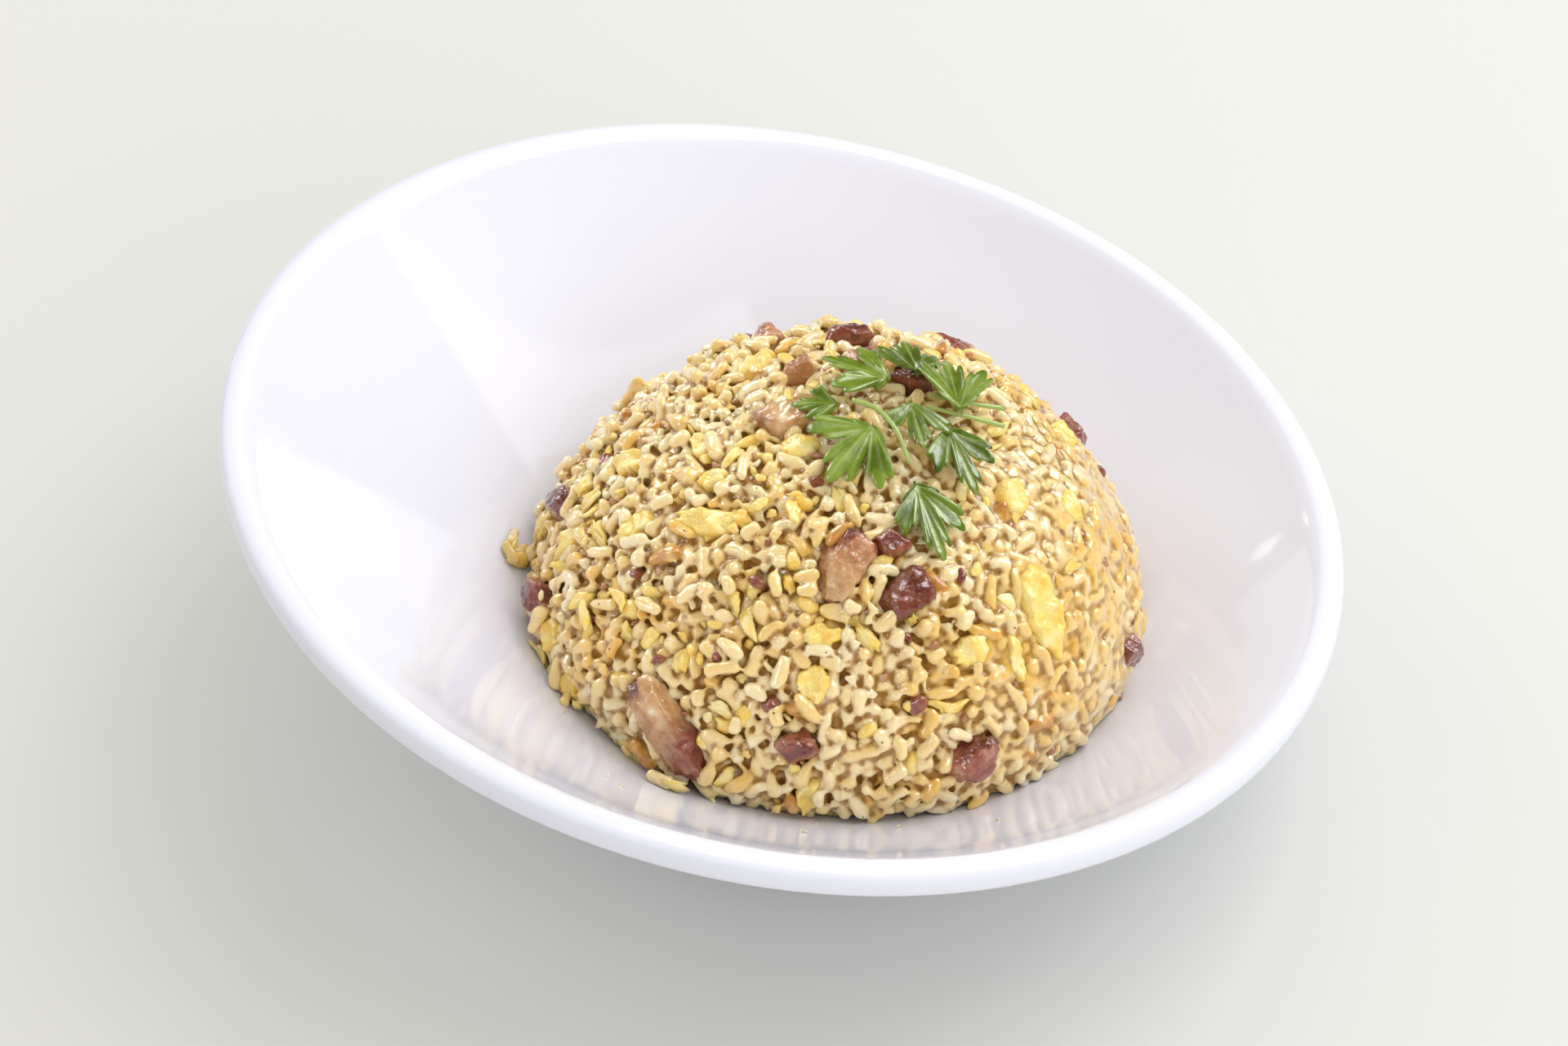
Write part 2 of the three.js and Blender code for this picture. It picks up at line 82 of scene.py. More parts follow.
MOUND_X = 10.8
MOUND_Z = 24.5
MOUND_RADIUS = 70
MOUND_HEIGHT = 59
MOUND_DEPTH = 70
MOUND_POWER = 1.8
MOUND_CENTRE = np.array([MOUND_X, 0, MOUND_Z])
LOWEST_CLIMB = math.radians(-24)  # of the core's lower edge, which lies on the bowl
SECTORS = 4  # the skin of grains is cut into so many objects

GRAIN_LENGTH = 7.8
GRAIN_WIDTH = 3.45
SHORT_GRAIN = 0.66  # share of a whole grain's length
WHOLE_GRAINS = 2500
SHORT_GRAINS = 800
BROKEN_GRAINS = 700
FOOT_GRAINS = 170
EGG_CRUMBS = 600
EGG_SHREDS = 520
BROWN_CRUMBS = 150
PEPPER_SPECKS = 150
BALLS = np.array([-0.36, -0.12, 0.12, 0.36])  # places of a piece's balls, as shares of its length
SETTLING_ROUNDS = 50
CLOSENESS = 0.96  # share of two balls' radii at which they stop pushing
PUSHING_REACH = 3.5  # only balls nearer than this are paired
PROUD = 3.4  # how far the proudest grains may stand out
TOPPING_ROOT = 3  # how far pork and egg reach into the heap
VOXEL = 0.53
CORE_COVER = 1.2  # how far the core stands above the places of the lowest grains

# Toppings: name, bearing and climb on the mound, turn, length, width, how far it stands out.
PORK = [
    ("pork_top_left", 115, 52, 10, 8.5, 7, 4.6),
    ("pork_top_back", 84, 62, 0, 10, 7.5, 4.6),
    ("pork_top", 72, 77, 15, 11, 9.5, 4.2),
    ("pork_top_middle", 128, 77, 35, 9.5, 7, 4),
    ("pork_under_leaf", 28, 72, 0, 8, 7, 3.6),
    ("pork_fat_top", -152, 76, 70, 11.5, 8.5, 3.8),
    ("pork_front", -90, 48, 58, 15, 10, 4.6),
    ("pork_crisp", -74, 51, 20, 8.5, 6, 4.2),
    ("pork_dark_front", -73, 41, 10, 12, 10, 5),
    ("pork_left", 176, 20, 60, 11, 9, 5),
    ("pork_left_low", -169, 9, 30, 9, 8, 5),
    ("pork_base_large", -123, 10, -38, 25, 10.5, 5.2),
    ("pork_base_dark", -98, 13, 30, 10, 7.5, 4.2),
    ("pork_base_right", -66, 7, 40, 13, 9, 5),
    ("pork_right", -20, 3, 70, 9, 7, 4),
    ("pork_back_1", 60, 30, 25, 12, 9, 4.6),
    ("pork_back_2", 112, 22, -20, 11, 9, 4.6),
    ("pork_back_3", 34, 14, 60, 10, 8, 4.4),
]
# Where each piece's fat starts and ends along its length, -1 to 1, and how browned its lean is.
PORK_LOOK = {
    "pork_top": (-2.6, 2.4, 0),
    "pork_fat_top": (-1.3, -0.2, 0.7),
    "pork_front": (1.5, -0.9, 0.1),
    "pork_base_large": (0.6, -0.1, 0.5),
    "pork_left": (2, 3, 0.9),
    "pork_top_middle": (-2.8, 2.4, 0),
    "pork_top_left": (-3, 2.8, 0.05),
    "pork_back_1": (0.2, -0.8, 0.3),
}
# Which end of a piece, along its length, has the dark skin.
PORK_SKIN = {
    "pork_front": 1, "pork_base_large": -1, "pork_base_right": 1, "pork_left": 1, "pork_back_2": -1,
}
# How boxy a piece is: 2 would be a ball.
PORK_POWER = {
    "pork_base_large": 2.5, "pork_left": 2.7, "pork_base_right": 2.9, "pork_dark_front": 3.2,
}
USUAL_PORK_POWER = 4.2
EGG = [
    ("egg_top_left", 135, 64, 12, 12.5, 8, 4),
    ("egg_top_front", -121, 73, 30, 9, 6.5, 3.6),
    ("egg_left_folded", -178, 41, 40, 11, 7.5, 3.8),
    ("egg_left_upper", -167, 58, 10, 8.5, 5.5, 3.6),
    ("egg_left_middle", -148, 56, 40, 8, 6, 3.8),
    ("egg_strip_long", -137, 49, 22, 17, 5.5, 3.6),
    ("egg_left_patch", -155, 38, 80, 9.5, 6.5, 3.6),
    ("egg_left_strip", -171, 22, 78, 12.5, 5, 3.4),
    ("egg_left_base", -160, 7, 10, 11, 7.5, 4.2),
    ("egg_crust_base", -149, 3, 0, 9, 6.5, 3.6),
    ("egg_front", -96, 25, 40, 8.5, 7, 4),
    ("egg_front_base", -96, 3, 70, 9, 6, 4),
    ("egg_right_large", -41, 26, 75, 21, 10, 4),
    ("egg_right_lower", -62, 27, 25, 10, 7.5, 4),
    ("egg_right_thin", -52, 22, 82, 11, 3.8, 3.4),
    ("egg_right_smooth", -25, 47, 50, 8, 7.5, 4.2),
    ("egg_right_side", -11, 34, 20, 8, 6.5, 4),
    ("egg_middle_low", -94, 34, 5, 9.5, 5.5, 3.6),
    ("egg_back_1", 86, 43, 20, 12, 8, 3.8),
    ("egg_back_2", 142, 34, 60, 11, 7, 3.8),
    ("egg_back_3", 18, 32, -30, 12, 7, 3.8),
    ("egg_back_4", 72, 14, 15, 11, 7, 3.6),
]
# How ragged a piece's outline is.
EGG_RAGGED = {"egg_right_smooth": 0.35, "egg_right_side": 0.5, "egg_top_left": 0.8}
USUAL_RAGGED = 1.25
# Small bits on the rice: bearing, climb, size.
SMALL_EGG = [
    (96, 73, 4), (152, 84, 5), (-76, 82, 5), (-165, 30, 5), (170, 11, 6), (-141, 26, 6),
    (-139, 31, 5), (-137, 13, 5), (-116, 10, 4), (-109, 17, 5.5), (-111, 4, 5), (-85, 16, 5.5),
    (-77, 9, 6), (-82, 3, 5), (31, 53, 5), (35, 34, 5.5), (-99, 40, 5.5), (-107, 61, 5),
    (50, 45, 5), (128, 12, 6),
]
SMALL_PORK = [
    (-104, 20, 4.5), (174, 33, 5.5), (-75, 20, 5), (-57, 41, 3.6), (-130, 21, 3.8), (-145, 32, 3.4),
    (-75, 33, 3), (-103, 66, 3.4), (-113, 42, 3.6), (-117, 26, 4), (95, 30, 4.5), (15, 20, 4),
]
# Grains beside the mound: x, y, turn, kind.
FALLEN_LEFT = [
    (-67.2, 10.4, 75, "grain"), (-65.6, 7.6, 30, "grain"), (-67.2, 5.8, -40, "grain"),
    (-66.8, 8.4, 80, "egg"), (-65.2, 5, 20, "egg"),
]
FALLEN_FRONT = [(-29.5, -67, -15, "grain"), (-26, -69, 10, "egg")]
# Crumbs on the bowl in front of the mound: x, y and length.
BOWL_CRUMBS = [
    (-17.5, -68.6, 1.6), (-4.4, -69.7, 1), (2.7, -82.1, 0.9), (-36.5, -76.9, 0.8), (5.5, -74.8, 0.9),
    (44.9, -76.8, 0.8), (23.3, -75.9, 1.1), (-51.3, -43.4, 0.8), (-39.7, -73, 0.9), (32.2, -76.2, 0.7),
    (12.6, -76, 0.8),
]
# Leaves: name, x and y of the stalk's end, heading, length, spread, lift, fold, wave's phase.
LEAVES = [
    ("leaf_upper_left", 21.3, 1, 160, 15.5, 0.8, 6.2, 0.1, 0.4),
    ("leaf_upper", 28.3, 5, 104, 12, 0.8, 6.8, 0.15, 2.1),
    ("leaf_left_dark", 9.8, -7.5, 176, 10, 0.5, 4.8, 0.35, 1.2),
    ("leaf_lower_left", 17.8, -13.5, 232, 16.5, 0.85, 5, 0.05, 3.4),
    ("leaf_middle", 26.3, -6.5, 282, 13, 0.75, 6.4, 0.2, 0.9),
    ("leaf_upright", 37.3, -4, 97, 18.5, 0.5, 6.6, 0.4, 5.2),
    ("leaf_lower_right", 34.8, -11, 293, 15, 0.65, 5.8, 0.12, 4.1),
    ("leaf_lowest", 27.3, -26, 292, 15.5, 0.6, 4.3, 0.15, 2.7),
]
# Stalks: name, then places as x, y and height above the bare core.
STEMS = [
    ("stem_right_upper", (47.8, 3.5, 5.6), (39.8, 1.5, 4.4), (30.8, 0.5, 4)),
    ("stem_right_lower", (47.8, -1.5, 4.4), (38.8, -2.5, 3.6), (30.3, -3.2, 3.6)),
    ("stem_lower_left", (13.3, -9, 7.8), (18.8, -11.6, 8.3), (23.1, -16.5, 7.8), (25.7, -22, 5.6)),
]
STEM_RADIUS = 0.65
BLADE_HALF = 0.14  # half a leaf's thickness
LEAF_RIB = math.radians(14.3)  # between one rib of a leaf and the next
LEAF_LOBE = math.radians(43)  # between the middles of two lobes
SPRIG_X = 29
SPRIG_Y = -14
SPRIG_REACH = (22, 30)  # no grain stands proud within the first, and beyond the second any may


# ------ helpers
def smoothstep(value, low, high):
    t = np.clip((value - low) / (high - low), 0, 1)
    return t * t * (3 - 2 * t)


def unit(vectors):
    return vectors / np.linalg.norm(vectors, axis=-1)[..., None]


def full_turn(sides):
    """Angles spaced evenly round a circle."""
    return np.arange(sides) * TURN / sides


def summed(owners, vectors, count):
    """The sum of each owner's vectors."""
    return np.column_stack([np.bincount(owners, column, count) for column in vectors.T])


def waves(points, seed, scale, octaves=2):
    """Smooth seeded noise from -1.6 to 1.6 at each point, with features of the scale in mm."""
    rng = np.random.default_rng(seed)
    total = np.zeros(len(points))
    size = 1
    for _ in range(octaves):
        ways = rng.normal(size=(7, 3))
        phases = rng.uniform(0, TURN, 7)
        total += size * np.sin(points @ ways.T / (scale * 0.35) + phases).sum(1) / 4.5
        size *= 0.5
        scale *= 0.45
    return np.clip(total, -1.6, 1.6)


def mesh_piece(name, verts, faces, material, **attributes):
    """A smooth mesh from points in mm; each attribute is one float for all or one per point."""
    mesh = bpy.data.meshes.new(name)
    mesh.from_pydata((np.asarray(verts, float) * MM).tolist(), [], faces)
    mesh.polygons.foreach_set("use_smooth", [True] * len(mesh.polygons))
    for key, values in attributes.items():
        layer = mesh.attributes.new(key, "FLOAT", "POINT")
        layer.data.foreach_set("value", np.broadcast_to(values, len(verts)).astype(np.float32))
    mesh.materials.append(material)
    mesh.update()
    piece = bpy.data.objects.new(name, mesh)
    bpy.context.scene.collection.objects.link(piece)
    return piece


def settle(piece, slot, *nodes):
    """Says what the piece rides on and which solids it stands for; the slot, for its finish, is not used.
    """
    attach(piece, BODY)
    if nodes:
        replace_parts(piece, *nodes)
    return piece


def grid_faces(rows, sides, capped=False):
    """Quads between neighbouring rings of points, and if capped a face over each end."""
    faces = []
    for start in range(0, (rows - 1) * sides, sides):
        for side in range(sides):
            right = (side + 1) % sides
            faces.append((start + side, start + right, start + sides + right, start + sides + side))
    if capped:
        faces.append(tuple(range(sides))[::-1])
        faces.append(tuple(range((rows - 1) * sides, rows * sides)))
    return faces


def numbered_from(start, faces):
    return [tuple(i + start for i in face) for face in faces]


def sheet_faces(rings, sides):
    """A closed sheet: a middle point and its rings, the same again below, and a wall round the edge."""
    top = [(0, 1 + side, 1 + (side + 1) % sides) for side in range(sides)]
    top += numbered_from(1, [face[::-1] for face in grid_faces(rings, sides)])
    below = 1 + rings * sides
    edge = below - sides
    wall = []
    for side in range(sides):
        here, right = edge + side, edge + (side + 1) % sides
        wall.append((here, here + below, right + below, right))
    return top + numbered_from(below, [face[::-1] for face in top]) + wall


# ------ bowl surfaces
RIM_LOW = np.array([RIM_RADIUS * math.cos(RIM_TILT), RIM_HEIGHT - RIM_RADIUS * math.sin(RIM_TILT)])
RIM_HIGH = np.array([-RIM_RADIUS * math.cos(RIM_TILT), RIM_HEIGHT + RIM_RADIUS * math.sin(RIM_TILT)])


def lip_level(outward, up):
    return RIM_LOW + (outward, up), RIM_HIGH + (-outward, up)


def wall_point(floor_x, end, curve, rise, offset):
    """X and Z on a wall that rises from the floor, the offset being straight out through the wall."""
    run = end[0] - floor_x
    climb = end[1] - FLOOR_TOP
    slope = climb * curve * np.maximum(rise, 1e-6) ** (curve - 1) / abs(run)
    down = offset / np.hypot(1, slope)
    outward = np.copysign(down * slope, run)
    return np.array([floor_x + run * rise + outward, FLOOR_TOP + climb * rise ** curve - down])


def wall_level(rise, offset=0):
    low_end, high_end = lip_level(*LIP[0])
    return (wall_point(FLOOR_LOW_X, low_end, LOW_CURVE, rise, offset),
            wall_point(FLOOR_HIGH_X, high_end, HIGH_CURVE, rise, offset))


def flat_level(radius, z):
    middle = (FLOOR_LOW_X + FLOOR_HIGH_X) / 2
    return np.array([middle + radius, z]), np.array([middle - radius, z])


def level_circle(low, high):
    angles = full_turn(BOWL_SIDES)
    middle = (low + high) / 2
    along = (low - high) / 2
    across = np.linalg.norm(low - high) / 2
    return np.column_stack([middle[0] + along[0] * np.cos(angles), across * np.sin(angles),
                            middle[1] + along[1] * np.cos(angles)])


def bowl_heights(x, y):
    """Height of the bowl's inner surface at each place, by bisection over its levels."""
    inside = np.zeros_like(x)
    outside = np.ones_like(x)
    for _ in range(26):
        rise = (inside + outside) / 2
        low, high = wall_level(rise)
        half = (low - high) / 2
        along = (x - (low[0] + high[0]) / 2) / half[0]
        beyond = np.hypot(along, y / np.hypot(*half)) > 1
        inside = np.where(beyond, rise, inside)
        outside = np.where(beyond, outside, rise)
    return (low[1] + high[1]) / 2 + along * half[1]


def over_bowl(points):
    return points[:, 2] - bowl_heights(points[:, 0], points[:, 1])


def smooth_curve(points, steps):
    """Points on a Catmull-Rom curve through the given ones."""
    points = np.asarray(points, float)
    padded = np.vstack([2 * points[0] - points[1], points, 2 * points[-1] - points[-2]])
    curve = []
    for i in range(len(points) - 1):
        p0, p1, p2, p3 = padded[i:i + 4]
        for t in np.arange(steps) / steps:
            curve.append(0.5 * (2 * p1 + (p2 - p0) * t + (2 * p0 - 5 * p1 + 4 * p2 - p3) * t * t
                                + (3 * p1 - p0 - 3 * p2 + p3) * t ** 3))
    curve.append(points[-1])
    return np.array(curve)


# ------ mound surface
def directions(bearing, climb):
    return np.stack([np.cos(climb) * np.cos(bearing), np.cos(climb) * np.sin(bearing),
                     np.sin(climb) * np.ones_like(bearing)], axis=-1)


def mound_reach(ways):
    height = np.where(ways[..., 2] < 0, MOUND_DEPTH, MOUND_HEIGHT)
    level = (np.hypot(ways[..., 0], ways[..., 1]) / MOUND_RADIUS) ** MOUND_POWER
    upright = (np.abs(ways[..., 2]) / height) ** MOUND_POWER
    return (level + upright) ** (-1 / MOUND_POWER)


def on_mound(ways, out=0.0):
    return MOUND_CENTRE + ways * (mound_reach(ways) + out)[..., None]


def mound_frames(bearings, climbs):
    """Places on the mound, with the ways round it, up it and straight out of it."""
    step = 0.01
    origin = on_mound(directions(bearings, climbs))
    round_way = on_mound(directions(bearings + step, climbs)) - origin
    out = unit(np.cross(round_way, on_mound(directions(bearings, climbs + step)) - origin))
    round_way = unit(round_way)
    return origin, round_way, np.cross(out, round_way), out


def mound_frame(bearing, climb, turn):
    """One such place, with angles in degrees, as a matrix whose X and Y are turned round Z."""
    frames = mound_frames(np.radians([bearing]), np.radians([climb]))
    origin, round_way, up_way, out = (rows[0] for rows in frames)
    cosine, sine = math.cos(math.radians(turn)), math.sin(math.radians(turn))
    placing = np.eye(4)
    placing[:3, 0] = round_way * cosine + up_way * sine
    placing[:3, 1] = up_way * cosine - round_way * sine
    placing[:3, 2] = out
    placing[:3, 3] = origin
    return placing


def moved(points, placing):
    return points @ placing[:3, :3].T + placing[:3, 3]


def mound_top(x, y):
    level = np.minimum(np.hypot(x - MOUND_X, y) / MOUND_RADIUS, 0.999)
    return MOUND_Z + MOUND_HEIGHT * (1 - level ** MOUND_POWER) ** (1 / MOUND_POWER)


def ways_to(points):
    return unit(points - MOUND_CENTRE)


def height_above(points, ways):
    """How far each point is out of the mound's bare surface."""
    return np.linalg.norm(points - MOUND_CENTRE, axis=1) - mound_reach(ways)


def looseness(ways):
    """1 on the loose side, falling towards +X, where the heap was pressed smooth."""
    side = ways[..., 0] - 0.15 * ways[..., 1]
    return 1 - 0.68 * smoothstep(side, 0.3, 0.75) - 0.22 * smoothstep(side, 0.7, 0.95)


def relief(points):
    """How far the heap swells out of the bare surface: lumps where it is loose."""
    loose = looseness(ways_to(points))
    return loose * (0.6 * waves(points, 8, 17) + 0.95 * waves(points, 7, 8)) + 0.7 * (1 - loose)


def toasted_and_shaded(points):
    """Patches where the rice is browned, 0 to 1, mostly on the pressed side, plus painted shade that
    darkens the left side.
    """
    ways = ways_to(points)
    patch = smoothstep(waves(points, 31, 22), 0.0, 0.9)
    low = 1 - 0.6 * smoothstep(ways[:, 2], 0.35, 0.8)
    side = smoothstep(ways[:, 0] - 0.1 * ways[:, 1], 0.15, 0.85)
    # Painted shade: the left side, turned from the key light, is darkened as if browned.
    left = smoothstep(-ways[:, 0], -0.1, 0.6)
    return np.clip(0.1 + low * (0.15 * side + 0.1 * left + patch * (0.4 + 0.3 * side)), 0, 1)


def core_level(points, loose):
    """Lowest place of grains over the bare surface: deep where loose, shallow where pressed."""
    return relief(points) - 2.6 * loose - 0.3


def lid_level(points, loose):
    """Highest place of grains over the bare surface."""
    return relief(points) + 0.7 + loose * (0.9 + 1.1 * waves(points, 61, 6))


# ------ materials
class Look:
    """A procedural material, with short ways to make and wire its nodes."""

    def __init__(self, name):
        self.material = bpy.data.materials.new(name)
        self.material.use_nodes = True
        self.nodes = self.material.node_tree.nodes
        self.links = self.material.node_tree.links

    def feed(self, sockets, values):
        """Gives each named socket a number, a colour or another node's output."""
        for name, value in values.items():
            if isinstance(value, bpy.types.NodeSocket):
                self.links.new(value, sockets[name])
            elif sockets[name].type == "RGBA":
                sockets[name].default_value = (*value, 1)
            else:
                sockets[name].default_value = value

    def node(self, kind, values, **settings):
        node = self.nodes.new("ShaderNode" + kind)
        for name, setting in settings.items():
            setattr(node, name, setting)
        self.feed(node.inputs, values)
        return node

    def value(self, name):
        """A float that the mesh gives for each point."""
        return self.node("Attribute", {}, attribute_name=name).outputs["Fac"]

    def noise(self, scale, detail=3, roughness=0.55, place=None, distortion=0):
        if place is None:
            place = self.node("TexCoord", {}).outputs["Object"]
        values = {"Vector": place, "Scale": scale, "Detail": detail, "Roughness": roughness,
                  "Distortion": distortion}
        return self.node("TexNoise", values).outputs["Fac"]

    def ramp(self, source, *stops):
        ramp = self.node("ValToRGB", {"Fac": source})
        elements = ramp.color_ramp.elements
        while len(elements) < len(stops):
            elements.new(0.5)
        for element, (position, colour) in zip(elements, stops):
            element.position = position
            element.color = (*colour, 1)
        return ramp.outputs["Color"]

    def added(self, first, second):
        return self.node("Math", {0: first, 1: second}, operation="ADD").outputs[0]

    def scaled(self, first, second):
        return self.node("Math", {0: first, 1: second}, operation="MULTIPLY").outputs[0]

    def spread(self, source, low, high, start=0.0, end=1.0):
        """The source's range from start to end, drawn out to low and high."""
        values = {"Value": source, "From Min": start, "From Max": end, "To Min": low, "To Max": high}
        return self.node("MapRange", values).outputs["Result"]

    def mixed(self, factor, first, second):
        node = self.node("Mix", {0: factor, 6: first, 7: second}, data_type="RGBA")
        return node.outputs[2]

    def bump(self, height, distance, strength=1.0):
        bump = self.node("Bump", {"Height": height, "Distance": distance, "Strength": strength})
        self.feed(self.shader().inputs, {"Normal": bump.outputs["Normal"]})

    def shader(self):
        return self.nodes["Principled BSDF"]

    def finish(self, colour, roughness, coat=(0.0, 0.03), glow=(0.0, (1.0, 0.2, 0.1), 0.05)):
        """The coat has a weight and a roughness; the glow under the surface a weight, reach and scale."""
        names = ("Base Color", "Roughness", "Coat Weight", "Coat Roughness", "Subsurface Weight",
                 "Subsurface Radius", "Subsurface Scale")
        self.feed(self.shader().inputs, dict(zip(names, (colour, roughness, *coat, *glow))))
        return self.material


def melamine_material():
    look = Look("melamine_white")
    colour = look.ramp(look.noise(9, 2), (0.3, (0.81, 0.825, 0.97)), (0.7, (0.83, 0.845, 0.98)))
    look.feed(look.shader().inputs, {"IOR": 1.5})
    look.bump(look.noise(25, 2), 0.00006)
    return look.finish(colour, look.spread(look.noise(45, 5), 0.05, 0.12))


def rice_material():
    """Grains: 'tone' is 0 for pale and 1 for browned, with painted shade on the heap's left side mixed in;
    'deep' is 1 down in the gaps, which get painted shade here.
    """
    look = Look("rice_grains")
    tone = look.added(look.value("tone"), look.spread(look.noise(380, 3), -0.16, 0.16))
    surface = look.ramp(tone, (0.0, (0.92, 0.79, 0.52)), (0.2, (0.89, 0.68, 0.31)),
                        (0.45, (0.84, 0.54, 0.14)), (0.7, (0.76, 0.41, 0.10)),
                        (0.88, (0.48, 0.20, 0.04)), (1.0, (0.24, 0.09, 0.03)))
    golden = look.added(look.scaled(look.value("baked"), 0.45),
                        look.spread(look.noise(95, 5, 0.65), -0.5, 0.6))
    mash = look.ramp(golden, (0.0, (0.93, 0.74, 0.34)), (0.25, (0.90, 0.64, 0.19)),
                     (0.5, (0.83, 0.51, 0.10)), (0.75, (0.68, 0.38, 0.08)), (0.95, (0.42, 0.19, 0.03)))
    covered = look.mixed(look.value("paste"), surface, mash)
    # Painted shade: where 'deep' is 1, in the grooves between grains, the colour turns a dark golden brown.
    colour = look.mixed(look.scaled(look.value("deep"), 0.9), covered, (0.40, 0.18, 0.008))
    look.bump(look.noise(520, 4), 0.0005)
    return look.finish(colour, look.spread(look.noise(260, 2), 0.1, 0.32), (0.9, 0.1),
                       (0.75, (1.0, 0.95, 0.85), 0.0014))


def core_material():
    """Mashed rice under the grains: golden and streaked where 'tone' is high."""
    look = Look("rice_core")
    grainy = look.noise(300, 4)
    broad = look.noise(95, 5, 0.65)
    streaks = look.added(look.spread(grainy, -0.2, 0.3), look.spread(broad, -0.6, 0.6))
    tone = look.added(look.scaled(look.value("tone"), 0.45), streaks)
    colour = look.ramp(tone, (0.0, (0.94, 0.76, 0.45)), (0.25, (0.90, 0.66, 0.30)),
                       (0.5, (0.84, 0.54, 0.18)), (0.75, (0.68, 0.36, 0.09)), (0.95, (0.42, 0.18, 0.04)))
    look.bump(grainy, 0.0014)
    return look.finish(colour, look.spread(broad, 0.2, 0.5), glow=(0.5, (1.0, 0.8, 0.5), 0.0012))


def pepper_material():
    look = Look("ground_pepper")
    colour = look.ramp(look.noise(900, 2), (0.3, (0.03, 0.018, 0.01)), (0.7, (0.12, 0.07, 0.03)))
    return look.finish(colour, 0.6)


def egg_material():
    """Scrambled egg: 'brown' is 1 at fried edges."""
    look = Look("scrambled_egg")
    yellow = look.ramp(look.noise(210, 4), (0.3, (0.98, 0.62, 0.10)), (0.5, (0.99, 0.74, 0.21)),
                       (0.7, (1.0, 0.86, 0.42)))
    brown = look.scaled(look.value("brown"), look.spread(look.noise(300, 4), -0.2, 1.2))
    look.bump(look.noise(600, 4), 0.0007)
    return look.finish(look.mixed(brown, yellow, (0.62, 0.30, 0.05)), 0.3, (0.5, 0.1),
                       (0.25, (1.0, 0.96, 0.8), 0.001))


def pork_material():
    """Cured pork: 'fat' is 1 in the fat, 'seared' is 1 where the lean is dark."""
    look = Look("cured_pork")
    axes = {axis: look.value("strand_" + axis.lower()) for axis in "XYZ"}
    fibre = look.noise(0.42, 4, 0.5, look.node("CombineXYZ", axes).outputs[0], 0.8)
    lean = look.ramp(fibre, (0.32, (0.24, 0.05, 0.025)), (0.48, (0.39, 0.10, 0.06)),
                     (0.6, (0.50, 0.17, 0.105)), (0.72, (0.66, 0.34, 0.23)))
    dark = look.mixed(look.value("seared"), lean, (0.15, 0.03, 0.014))
    fat = look.ramp(look.noise(210, 4), (0.34, (0.46, 0.21, 0.07)), (0.5, (0.62, 0.35, 0.15)),
                    (0.62, (0.74, 0.50, 0.27)), (0.74, (0.90, 0.74, 0.52)))
    veined = look.added(look.value("fat"), look.spread(fibre, -0.3, 0.3))
    look.bump(look.noise(800, 4), 0.0006)
    return look.finish(look.mixed(look.spread(veined, 0.0, 1.0, 0.15, 0.9), dark, fat), 0.2, (0.9, 0.07),
                       (0.3, (1.0, 0.4, 0.25), 0.0018))


def leaf_material():
    """Coriander: 'vein' is 1 on the ribs, 'shade' is each leaf's own darkness."""
    look = Look("coriander_leaf")
    green = look.ramp(look.noise(140, 3), (0.32, (0.10, 0.155, 0.006)), (0.5, (0.20, 0.31, 0.02)),
                      (0.68, (0.33, 0.44, 0.07)))
    shaded = look.mixed(look.value("shade"), green, (0.04, 0.06, 0.003))
    look.bump(look.noise(500, 3), 0.0003, 0.7)
    return look.finish(look.mixed(look.value("vein"), shaded, (0.46, 0.56, 0.18)), 0.26, (0.3, 0.15),
                       (0.15, (0.4, 1.0, 0.15), 0.001))


def floor_material():
    look = Look("pale_table")
    colour = look.ramp(look.noise(1.6, 2), (0.3, (0.70, 0.715, 0.71)), (0.7, (0.725, 0.735, 0.725)))
    return look.finish(colour, 0.55)


MELAMINE = melamine_material()
RICE = rice_material()
CORE = core_material()
PEPPER = pepper_material()
EGG_LOOK = egg_material()
PORK_FLESH = pork_material()
LEAF = leaf_material()
TABLE = floor_material()


# ------ bowl
def build_bowl():
    foot = [(0.01, FOOT_RECESS), (15, FOOT_RECESS), (30, FOOT_RECESS), (FOOT_INNER - 2.2, FOOT_RECESS),
            (FOOT_INNER - 1, FOOT_RECESS - 0.5), (FOOT_INNER - 0.4, 1), (FOOT_INNER + 0.3, 0),
            (FOOT_OUTER - 0.6, 0), (FOOT_OUTER, 0.6), (FOOT_OUTER + 0.5, 3.4)]
    levels = [flat_level(*corner) for corner in foot]
    levels += [wall_level(rise, WALL) for rise in np.linspace(0.08, 0.92, 30)]
    levels += [lip_level(*point) for point in smooth_curve(LIP, 6)[::-1]]
    levels += [wall_level(rise) for rise in np.linspace(1, 0, 42)[1:]]
    levels += [flat_level(radius, FLOOR_TOP) for radius in (30, 18, 6, 0.01)]
    verts = np.vstack([level_circle(low, high) for low, high in levels])
    faces = grid_faces(len(levels), BOWL_SIDES, capped=True)
    settle(mesh_piece("bowl_white", verts, faces, MELAMINE), "melamine", "bowl")


# ------ pork
def ball(detail):
    """Points and triangles of a subdivided icosahedron of radius 1."""
    form = bmesh.new()
    bmesh.ops.create_icosphere(form, subdivisions=detail, radius=1)
    points = np.array([v.co[:] for v in form.verts])
    faces = [tuple(v.index for v in f.verts) for f in form.faces]
    form.free()
    return points, faces


BALL_FINE = ball(5)
BALL_SMALL = ball(3)
BALL_CRUMB = ball(2)


def boxy(points, power):
    """The ball pushed towards a box."""
    return points * (np.abs(points) ** power).sum(1)[:, None] ** (-1 / power)


